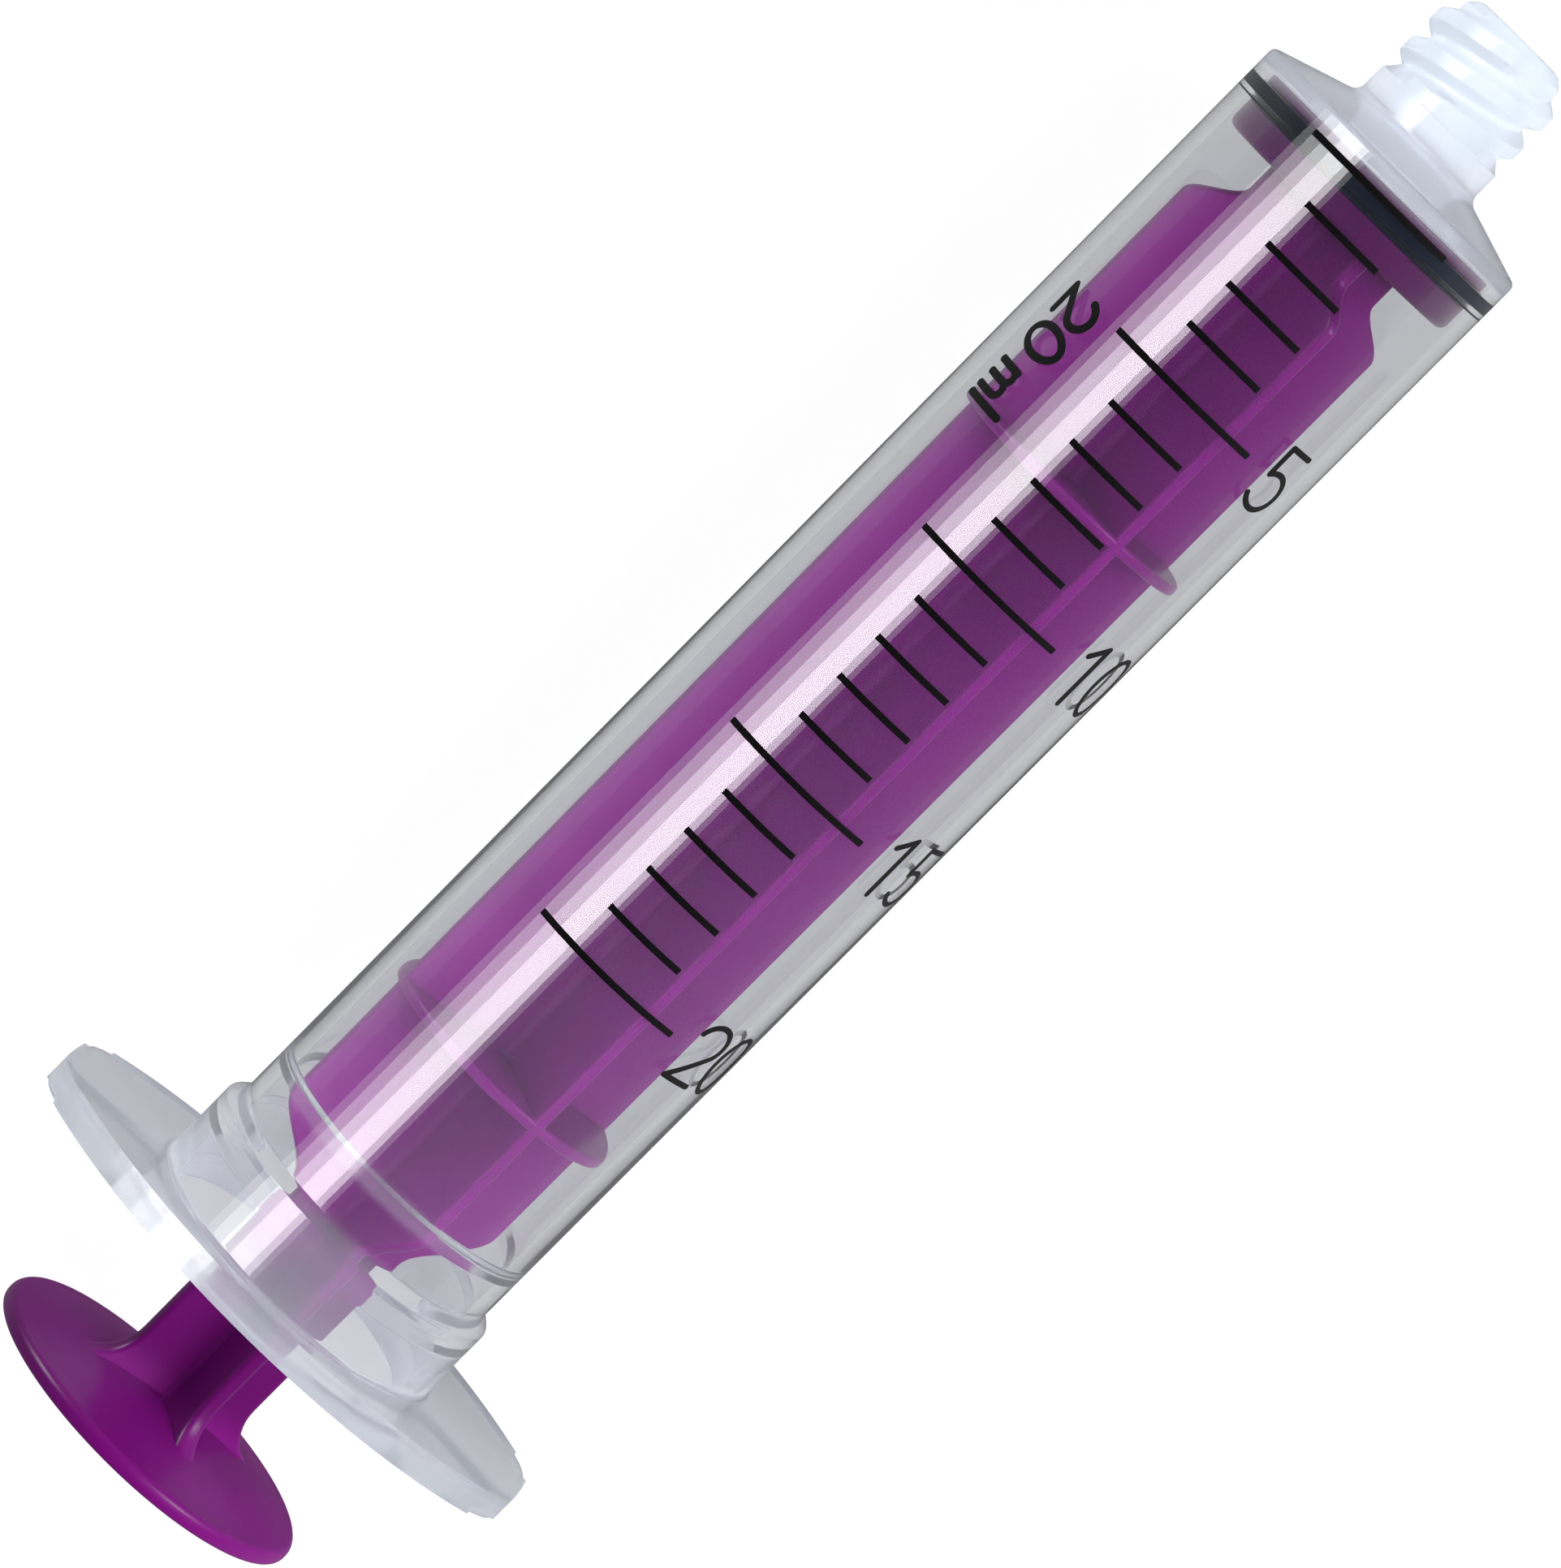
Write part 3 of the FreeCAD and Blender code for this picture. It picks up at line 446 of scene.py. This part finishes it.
FRONT_EDGE_ROUND = 0.5
SHOULDER_SLOPE = math.tan(math.radians(17.5))
NOZZLE_LENGTH = 9.36
BOSS_LENGTH = 2.2
COLLAR_LENGTH = 7.6
COLLAR_SLOPE = 0.8
LEAD_IN_DEPTH = 5.5
LEAD_IN_SLOPE = 1.1
BEAD_PLACE = 11.9
BEAD_HALF_WIDTH = 0.6
MOUTH_CHAMFER = 0.7
MOUTH_LIP = 0.15
MOUTH_EDGE = 0.12
LEAD_IN_CHAMFER = 0.3
THREAD_RUN_IN = 1.8
THREAD_RUN_OUT = 1.2
THREAD_STARTS = 2
CREST_HALF_WIDTH = 0.45
ROOT_HALF_WIDTH = 1.15
CREST_EASE = 0.35
THREAD_ROW = 0.1
THREAD_FADE = 0.3
NOSE_GAP = 0.2
WING_TIP_HALF = 4.5
WING_SECTOR = math.radians(60)
WING_CORNER_SHARPNESS = 40
RIM_ROUND = 0.6
FLANGE_ROOT_ROUND = 0.35


def wall_outline(sizes):
    """The barrel wall's closed outline, outside from flange to mouth, inside back again."""
    bore = TUBE - sizes.wall
    shoulder_end = MOUTH - NOZZLE_LENGTH
    shoulder_start = shoulder_end - (TUBE - sizes.boss) * SHOULDER_SLOPE
    boss_end = shoulder_end + BOSS_LENGTH
    nozzle_start = boss_end + sizes.boss - sizes.nozzle
    bore_end = PLUNGER_FRONT + NOSE_GAP
    collar_end = FLANGE_REAR + COLLAR_LENGTH
    mouth_step = FLANGE_REAR + LEAD_IN_DEPTH
    bead = FLANGE_REAR + BEAD_PLACE
    outside = rounded([
        (FLANGE_REAR, sizes.collar),
        (FLANGE_FRONT, sizes.collar),
        (collar_end, sizes.collar, 0.35),
        (collar_end + COLLAR_SLOPE, TUBE, 0.4),
        (shoulder_start, TUBE, FRONT_EDGE_ROUND),
        (shoulder_end, sizes.boss, 0.8),
        (boss_end, sizes.boss, 0.15),
        (nozzle_start, sizes.nozzle, 0.15),
    ], closed=False)
    rows = round((MOUTH - MOUTH_CHAMFER - nozzle_start) / THREAD_ROW)
    outside += [Vector((nozzle_start + THREAD_ROW * row, sizes.nozzle)) for row in range(1, rows)]
    inside = rounded([
        (MOUTH - MOUTH_CHAMFER, sizes.nozzle),
        (MOUTH - MOUTH_EDGE, sizes.nozzle - MOUTH_CHAMFER + MOUTH_EDGE, 0.1),
        (MOUTH, SOCKET + MOUTH_LIP),
        (MOUTH - MOUTH_LIP, SOCKET),
        (MOUTH - SOCKET_DEPTH, SOCKET, 0.3),
        (MOUTH - SOCKET_DEPTH, sizes.channel, 0.15),
        (bore_end + (bore - sizes.channel) * SHOULDER_SLOPE, sizes.channel, 0.2),
        (bore_end, bore, 0.35),
        (bead + BEAD_HALF_WIDTH, bore, 0.3),
        (bead, bore - sizes.bead, 0.25),
        (bead - BEAD_HALF_WIDTH, bore, 0.3),
        (mouth_step + LEAD_IN_SLOPE, bore, 0.5),
        (mouth_step, sizes.lead_in, 0.5),
        (FLANGE_REAR + LEAD_IN_CHAMFER, sizes.lead_in),
        (FLANGE_REAR, sizes.lead_in + LEAD_IN_CHAMFER),
    ], closed=False)
    return outside + inside


def flange_reach(angle):
    """Distance from the axis to the flange's oval edge, at an angle from +Y towards +Z."""
    drop = ((HALF_SPAN ** 2 + WING_TIP_HALF ** 2 - HALF_DEPTH ** 2)
            / (2 * (HALF_DEPTH - WING_TIP_HALF)))
    radius = HALF_DEPTH + drop
    along, across = abs(math.cos(angle)), abs(math.sin(angle))
    to_arc = -drop * across + math.sqrt(radius ** 2 - (drop * along) ** 2)
    if along < math.cos(WING_SECTOR):
        return to_arc
    to_tip = HALF_SPAN / along
    power = -WING_CORNER_SHARPNESS
    return (to_arc ** power + to_tip ** power) ** (1 / power)


def raise_flange(bm, sizes):
    """Draws the band behind the collar out to the flange's oval edge and rounds its rim."""
    band = [
        face for face in bm.faces
        if all(abs(math.hypot(v.co.y, v.co.z) - sizes.collar) < 1e-3
               and v.co.x < FLANGE_FRONT + 1e-3 for v in face.verts)
    ]
    grown = bmesh.ops.extrude_face_region(bm, geom=band)["geom"]
    bmesh.ops.delete(bm, geom=band, context="FACES")
    edge_faces = [item for item in grown if isinstance(item, bmesh.types.BMFace)]
    for vert in [item for item in grown if isinstance(item, bmesh.types.BMVert)]:
        angle = math.atan2(vert.co.z, vert.co.y)
        reach = flange_reach(angle)
        vert.co.y = reach * math.cos(angle)
        vert.co.z = reach * math.sin(angle)
    rim = {edge for face in edge_faces for edge in face.edges
           if abs(edge.verts[0].co.x - edge.verts[1].co.x) < 1e-4}
    bmesh.ops.bevel(bm, geom=list(rim), offset=RIM_ROUND, offset_type="OFFSET", segments=5,
                    profile=0.5, affect="EDGES", material=-1)
    root = [
        edge for edge in bm.edges
        if all(abs(v.co.x - FLANGE_FRONT) < 1e-3
               and abs(math.hypot(v.co.y, v.co.z) - sizes.collar) < 1e-2 for v in edge.verts)
    ]
    bmesh.ops.bevel(bm, geom=root, offset=FLANGE_ROOT_ROUND, offset_type="OFFSET", segments=4,
                    profile=0.5, affect="EDGES", material=-1)


def cut_thread(bm, sizes):
    """Raises the two-start right-hand thread on the nozzle's skin."""
    boss_end = MOUTH - NOZZLE_LENGTH + BOSS_LENGTH
    first_crest = boss_end - THREAD_RUN_IN
    last_crest = MOUTH - THREAD_RUN_OUT
    lead = sizes.pitch * THREAD_STARTS
    height = sizes.boss - sizes.nozzle
    for vert in bm.verts:
        radius = math.hypot(vert.co.y, vert.co.z)
        if vert.co.x < boss_end - 0.5 or radius < sizes.nozzle - 0.01:
            continue
        angle = math.atan2(-vert.co.y, vert.co.z)
        crests = (vert.co.x - first_crest - lead * angle / FULL_TURN) / sizes.pitch
        from_crest = (crests - round(crests)) * sizes.pitch
        beyond_end = max(vert.co.x - from_crest - last_crest, 0)
        flank = (ROOT_HALF_WIDTH - abs(from_crest)) / (ROOT_HALF_WIDTH - CREST_HALF_WIDTH)
        share = min(max(flank, 0), 1) * max(1 - beyond_end / THREAD_FADE, 0)
        ease = CREST_EASE * share * share * (3 - 2 * share) + (1 - CREST_EASE) * share
        raised = max(radius, sizes.nozzle + height * ease)
        vert.co.y *= raised / radius
        vert.co.z *= raised / radius


class SYRINGE_OT_barrel(Operator):
    """Clear barrel: tube, collar, oval finger flange, shoulder and threaded nozzle in one skin"""
    bl_idname = "syringe.barrel"
    bl_label = "Barrel"

    def execute(self, context):
        sizes = context.scene.syringe_barrel
        bm = bmesh.new()
        turned(bm, wall_outline(sizes), sizes.turns)
        raise_flange(bm, sizes)
        cut_thread(bm, sizes)
        mesh_object("barrel_moulding", bm, clear_polypropylene(context.scene.syringe_colours),
                    "barrel", ["barrel"])
        return {"FINISHED"}


# ---------------------------------------------------------------- plunger

RIB_TIP_HALF = 0.4
RIB_ROOT_HALF = 0.8
RIB_REACH = 9.15
RIB_TIP_ROUNDING = 0.75
RIB_OVERLAP = 1.0
STEM_TAPER = (19.05, 24.05)
NECK_LENGTH = 2.0
NECK_SLOPE = 2.9
HEAD_REAR_LENGTH = 2.0
HEAD_FRONT_LENGTH = 0.7
REAR_GUIDE = 33.95
FRONT_GUIDE_SETBACK = 27.6
GUIDE_HALF_WIDTH = 0.4
THUMB_THICKNESS = 1.15
THUMB_CROWN = 1.6
THUMB_FRONT_ROUND = 0.65
THUMB_REAR_ROUND = 0.4
THUMB_RIM = 1.25
CROWN_BULGE = 0.34
DISH_BULGE = 0.3
THUMB_DISH = 1.2
ROOT_FLARE = 3.4
FOOT_STEPS = 12
ROOT_WIDENING = 0.35
RIB_ROOT_ROUND = 0.7


def rib_section(reach, widen=0.0):
    """Cross of four ribs, thinner at their rounded tips, with filleted roots."""
    taper = (RIB_ROOT_HALF - RIB_TIP_HALF) / RIB_REACH
    tip = RIB_ROOT_HALF - taper * reach + widen
    tip_round = tip * RIB_TIP_ROUNDING
    core = (RIB_ROOT_HALF + widen) / (1 + taper)
    corners = []
    for quarter in range(4):
        turn = Matrix.Rotation(quarter * math.pi / 2, 2)
        for corner, radius in (((reach, -tip), tip_round), ((reach, tip), tip_round),
                               ((core, core), RIB_ROOT_ROUND)):
            placed = turn @ Vector(corner)
            corners.append((placed.x, placed.y, radius))
    return rounded(corners)


def lofted_ribs(bm, sizes):
    """Lofts the ribs' cross through their outline: flared foot, stem, wide middle, neck."""
    head_rear = PLUNGER_FRONT - HEAD_FRONT_LENGTH - (SEAL_FRONT - SEAL_REAR) - HEAD_REAR_LENGTH
    foot = PLUNGER_REAR + THUMB_THICKNESS + THUMB_CROWN / 2
    stations = []
    for step in range(FOOT_STEPS + 1):
        swing = step / FOOT_STEPS * math.pi / 2
        stations.append((foot + ROOT_FLARE * (1 - math.cos(swing)),
                         sizes.stem + ROOT_FLARE * (1 - math.sin(swing))))
    stations += s_stations(PLUNGER_REAR + STEM_TAPER[0], sizes.stem,
                           PLUNGER_REAR + STEM_TAPER[1], sizes.guide, 16)
    neck_rear = head_rear - NECK_LENGTH
    stations += s_stations(neck_rear - NECK_SLOPE, sizes.guide, neck_rear, sizes.neck, 14)
    stations.append((head_rear + RIB_OVERLAP, sizes.neck))
    loops = []
    turn = Matrix.Rotation(sizes.turn, 3, "X")
    for x, reach in stations:
        foot_share = max(1 - (x - foot) / ROOT_FLARE, 0)
        ring = [bm.verts.new(turn @ Vector((x, point.x, point.y)))
                for point in rib_section(reach, ROOT_WIDENING * foot_share ** 2)]
        loops.append([bm.edges.new((ring[i - 1], ring[i])) for i in range(len(ring))])
    for one, other in zip(loops, loops[1:]):
        bmesh.ops.bridge_loops(bm, edges=one + other)
    bmesh.ops.holes_fill(bm, edges=loops[0] + loops[-1], sides=0)


def thumb_outline(sizes):
    """Half section of the thumb disc: dished rear, rounded rim, crowned front."""
    rear = PLUNGER_REAR
    face = rear + THUMB_THICKNESS
    rim_foot = sizes.thumb - THUMB_RIM
    crown_edge = (face + THUMB_CROWN / 8, sizes.thumb - 2 * THUMB_FRONT_ROUND)
    dish = arc_between((rear + THUMB_DISH, 0), (rear, rim_foot), DISH_BULGE, 16)
    rim = rounded([
        (rear, rim_foot),
        (rear, sizes.thumb, THUMB_REAR_ROUND),
        (face, sizes.thumb, THUMB_FRONT_ROUND),
        crown_edge,
    ], closed=False)[1:-1]
    crown = arc_between(crown_edge, (face + THUMB_CROWN, 0), CROWN_BULGE, 20)
    return dish + rim + crown


def head_outline(sizes):
    """The head's two discs with the seal's groove between them."""
    front = PLUNGER_FRONT
    groove_front = front - HEAD_FRONT_LENGTH
    groove_rear = SEAL_REAR - (groove_front - SEAL_FRONT)
    head_rear = groove_rear - HEAD_REAR_LENGTH
    return rounded([
        (head_rear, 0),
        (head_rear, sizes.head, 0.6),
        (groove_rear, sizes.head, 0.12),
        (groove_rear, sizes.groove),
        (groove_front, sizes.groove),
        (groove_front, sizes.head, 0.1),
        (front, sizes.head, 0.25),
        (front, 0),
    ], closed=False)


def guide_outline(sizes, middle):
    """A thin guide disc with a rounded edge."""
    return rounded([
        (middle - GUIDE_HALF_WIDTH, 0),
        (middle - GUIDE_HALF_WIDTH, sizes.guide, 0.3),
        (middle + GUIDE_HALF_WIDTH, sizes.guide, 0.3),
        (middle + GUIDE_HALF_WIDTH, 0),
    ], closed=False)


class SYRINGE_OT_plunger(Operator):
    """Purple plunger: thumb disc, ribbed stem, guide discs and head in one moulding"""
    bl_idname = "syringe.plunger"
    bl_label = "Plunger"

    def execute(self, context):
        sizes = context.scene.syringe_plunger
        material = purple_polypropylene(context.scene.syringe_colours)
        outlines = [
            thumb_outline(sizes),
            guide_outline(sizes, PLUNGER_REAR + REAR_GUIDE),
            guide_outline(sizes, PLUNGER_FRONT - FRONT_GUIDE_SETBACK),
            head_outline(sizes),
        ]
        bm = bmesh.new()
        lofted_ribs(bm, sizes)
        ribs = mesh_object("plunger_moulding", bm, material, "plunger",
                           ["plunger"])
        parts = [ribs]
        for number, outline in enumerate(outlines):
            bm = bmesh.new()
            turned(bm, outline, sizes.turns, closed=False)
            close_poles(bm)
            parts.append(mesh_object(f"disc_{number}", bm, material, "plunger",
                                     []))
        plunger = fuse(parts)
        plunger.data.shade_smooth()
        plunger.data.set_sharp_from_angle(angle=SHARP_EDGE)
        return {"FINISHED"}


# ---------------------------------------------------------------- seal and printing

SEAL_BITE = 0.012        # how far the lands press into the wall, so no air shows between them
SEAL_PLAY = 0.04
SEAL_LIP = 0.15
SEAL_LAND = 0.95
SEAL_RELIEF = 0.35


class SYRINGE_OT_seal(Operator):
    """Rubber seal ring: broad front land, relief and thin rear wiping lip"""
    bl_idname = "syringe.seal"
    bl_label = "Seal ring"

    def execute(self, context):
        inner = context.scene.syringe_plunger.groove + SEAL_PLAY
        pressed = TUBE - context.scene.syringe_barrel.wall + SEAL_BITE
        land = SEAL_FRONT - SEAL_LAND
        outline = rounded([
            (SEAL_REAR, inner),
            (SEAL_REAR, pressed, 0.06),
            (SEAL_REAR + SEAL_LIP, pressed, 0.05),
            (SEAL_REAR + 2 * SEAL_LIP, SEAL - SEAL_RELIEF, 0.05),
            (land - SEAL_LIP, SEAL - SEAL_RELIEF, 0.05),
            (land, pressed, 0.08),
            (SEAL_FRONT, pressed, 0.12),
            (SEAL_FRONT, inner),
        ])
        bm = bmesh.new()
        turned(bm, outline, context.scene.syringe_plunger.turns)
        mesh_object("seal_ring_moulding", bm, seal_elastomer(context.scene.syringe_colours),
                    "seal", ["seal_ring"])
        return {"FINISHED"}


class SYRINGE_OT_printing(Operator):
    """Gives the printed scale, numerals and capacity their ink"""
    bl_idname = "syringe.printing"
    bl_label = "Printing"

    def execute(self, context):
        ink = pad_printed_ink(context.scene.syringe_colours)
        for name in ("scale_lines", "scale_numerals", "volume_label"):
            node = frame["nodes"][name]
            node.data.materials.clear()
            node.data.materials.append(ink)
        return {"FINISHED"}


# ---------------------------------------------------------------- stage

LAMP_AIM = (-0.10, 0, 0)         # metres


def add_softbox(name, direction, distance, size, radiance, pieces=None, **seen_by):
    """A rectangular lamp that faces the syringe: its distance and its size, along X and across,
    are in metres. With pieces it lights only those, as a flagged lamp does."""
    lamp = bpy.data.lights.new(name, "AREA")
    lamp.shape = "RECTANGLE"
    lamp.size, lamp.size_y = size
    lamp.energy = radiance * math.pi * lamp.size * lamp.size_y
    back = Vector(direction).normalized()
    across = back.cross(Vector((1, 0, 0))).normalized()
    along = across.cross(back)
    turn = Matrix((along, across, back)).transposed().to_4x4()
    holder = bpy.data.objects.new(name, lamp)
    holder.matrix_world = Matrix.Translation(Vector(LAMP_AIM) + back * distance) @ turn
    holder.visible_camera = False
    for ray, shown in seen_by.items():
        setattr(holder, f"visible_{ray}", shown)
    if pieces:
        lit = bpy.data.collections.new(f"{name}_lit")
        for piece in pieces:
            lit.objects.link(bpy.data.objects[piece])
        holder.light_linking.receiver_collection = lit
    bpy.context.scene.collection.objects.link(holder)


def add_studio_world(scene):
    """A studio that is pale low down on either side of the syringe and dark overhead and beyond
    its ends, so gloss stays clear."""
    world = bpy.data.worlds.new("studio")
    world.use_nodes = True
    tree = world.node_tree
    place = add_node(tree, "ShaderNodeTexCoord")
    axes = add_node(tree, "ShaderNodeSeparateXYZ", links={"Vector": place.outputs["Generated"]})
    shade = add_node(tree, "ShaderNodeValToRGB", links={"Fac": axes.outputs["Z"]})
    ramp = shade.color_ramp
    ramp.elements[0].position, ramp.elements[0].color = 0.0, (0.35, 0.35, 0.35, 1)
    ramp.elements[1].position, ramp.elements[1].color = 0.7, (0.06, 0.06, 0.065, 1)
    ramp.elements.new(0.02).color = (0.34, 0.35, 0.36, 1)
    ramp.elements.new(0.30).color = (0.20, 0.20, 0.21, 1)
    sideways = add_node(tree, "ShaderNodeMath", links={0: axes.outputs["Y"]},
                        operation="ABSOLUTE")
    reach = add_node(tree, "ShaderNodeMapRange", {"From Max": 0.8, "To Min": 0.25},
                     {"Value": sideways.outputs["Value"]})
    sides = multiplied(tree, shade.outputs["Color"], reach.outputs["Result"])
    ray = add_node(tree, "ShaderNodeLightPath")
    seen = add_node(tree, "ShaderNodeMix", {7: (0.93, 0.94, 0.95, 1)},
                    {"Factor": ray.outputs["Is Camera Ray"], 6: sides}, data_type="RGBA")
    tree.links.new(seen.outputs[2], tree.nodes["Background"].inputs["Color"])
    scene.world = world


# Broad lamps, seen in no reflection: name, direction, distance, size, radiance, pieces lit.
SOFTBOXES = (
    ("main_softbox", (0.20, -0.62, 0.70), 0.9, 0.7, 4.8, None),
    ("fill_softbox", (-0.3, 0.75, 0.6), 1.0, 0.6, 0.35, None),
    ("haze_softbox", (0.5, 0.6, 0.6), 1.0, 0.6, 7.5, ["barrel_moulding"]),
)
# Low lamps beyond the nozzle, seen only in the thumb disc's rounded shoulder: direction, radiance.
GLEAM_DISTANCE = 0.8
GLEAM_SIZE = (0.3, 0.3)
DISC_GLEAMS = (((0.53, 0.83, 0.20), 16.0), ((0.62, -0.65, 0.44), 14.0))
# A bank of cards for the tube's long gleam. Each covers a range of angles from straight up
# towards +Y, and is seen only in gloss: start, end, radiance.
CARD_DISTANCE = 0.5
CARD_LENGTH = 0.6
GLOSS_CARDS = ((15, 19, 2.3), (19, 24, 11), (24, 38, 19.5), (38, 47, 12.5), (47, 56, 6.5),
               (56, 62.5, 2.3))


def add_lamps():
    """Soft lamps that light the syringe, and lamps and cards that show only as gleams."""
    for name, direction, distance, size, radiance, pieces in SOFTBOXES:
        add_softbox(name, direction, distance, (size, size), radiance, pieces, glossy=False,
                    transmission=False)
    for number, (direction, radiance) in enumerate(DISC_GLEAMS):
        add_softbox(f"disc_gleam_{number}", direction, GLEAM_DISTANCE, GLEAM_SIZE, radiance,
                    ["plunger_moulding"], diffuse=False, transmission=False)
    for number, (start, end, radiance) in enumerate(GLOSS_CARDS):
        middle = math.radians((start + end) / 2)
        width = 2 * CARD_DISTANCE * math.tan(math.radians(end - start) / 2)
        add_softbox(f"gloss_card_{number}", (0, math.sin(middle), math.cos(middle)),
                    CARD_DISTANCE, (CARD_LENGTH, width), radiance, ["barrel_moulding"],
                    diffuse=False, transmission=False)


# In metres. The camera looks at a point on the axis, tilted towards the nozzle and turned.
CAMERA_AIM = (-0.0663, 0, 0)
CAMERA_DISTANCE = 0.4292
CAMERA_TILT = math.radians(7.97)
CAMERA_ROLL = math.radians(45.47)
CAMERA_LENS = 154.2
TABLE_HALF_WIDTH = 3.0


class SYRINGE_OT_stage(Operator):
    """Pale table, soft studio lamps and the camera"""
    bl_idname = "syringe.stage"
    bl_label = "Stage"

    def execute(self, context):
        scene = context.scene
        bm = bmesh.new()
        bmesh.ops.create_grid(bm, x_segments=8, y_segments=8, size=TABLE_HALF_WIDTH)
        bmesh.ops.translate(bm, vec=(0, 0, CAD_BOX[0][2]), verts=bm.verts)
        mesh = bpy.data.meshes.new("table")
        bm.to_mesh(mesh)
        bm.free()
        mesh.materials.append(pale_table(scene.syringe_colours))
        table = bpy.data.objects.new("table", mesh)
        table.visible_glossy = False
        scene.collection.objects.link(table)

        add_studio_world(scene)
        scene.view_settings.view_transform = "Standard"
        add_lamps()

        back = Vector((math.sin(CAMERA_TILT), 0, math.cos(CAMERA_TILT)))
        place = Vector(CAMERA_AIM) + CAMERA_DISTANCE * back
        up = Vector((math.sin(CAMERA_ROLL), math.cos(CAMERA_ROLL), 0))
        right = up.cross(back).normalized()
        up = back.cross(right)
        lens = bpy.data.cameras.new("camera")
        lens.lens = CAMERA_LENS
        lens.clip_start = 0.01
        camera = bpy.data.objects.new("camera", lens)
        turn = Matrix((right, up, back)).transposed().to_4x4()
        camera.matrix_world = Matrix.Translation(place) @ turn
        scene.collection.objects.link(camera)
        scene.camera = camera
        return {"FINISHED"}


# ---------------------------------------------------------------- add-on

OPERATORS = (SYRINGE_OT_barrel, SYRINGE_OT_plunger, SYRINGE_OT_seal, SYRINGE_OT_printing,
             SYRINGE_OT_stage)


class SYRINGE_PT_panel(Panel):
    """Lists the pieces of the syringe"""
    bl_label = "Oral Syringe"
    bl_idname = "SYRINGE_PT_panel"
    bl_space_type = "VIEW_3D"
    bl_region_type = "UI"
    bl_category = "Syringe"

    def draw(self, context):
        for operator in OPERATORS:
            self.layout.operator(operator.bl_idname)
        for group in (context.scene.syringe_barrel, context.scene.syringe_plunger,
                      context.scene.syringe_colours):
            box = self.layout.box()
            for name in group.__annotations__:
                box.prop(group, name)


CLASSES = (BarrelSizes, PlungerSizes, FinishColours) + OPERATORS + (SYRINGE_PT_panel,)


def register():
    for cls in CLASSES:
        bpy.utils.register_class(cls)
    bpy.types.Scene.syringe_barrel = PointerProperty(type=BarrelSizes)
    bpy.types.Scene.syringe_plunger = PointerProperty(type=PlungerSizes)
    bpy.types.Scene.syringe_colours = PointerProperty(type=FinishColours)


def unregister():
    del bpy.types.Scene.syringe_colours
    del bpy.types.Scene.syringe_plunger
    del bpy.types.Scene.syringe_barrel
    for cls in reversed(CLASSES):
        bpy.utils.unregister_class(cls)


def main():
    """Builds every piece and the stage."""
    register()
    bpy.ops.syringe.barrel()
    bpy.ops.syringe.plunger()
    bpy.ops.syringe.seal()
    bpy.ops.syringe.printing()
    bpy.ops.syringe.stage()


if __name__ == "__main__":
    main()
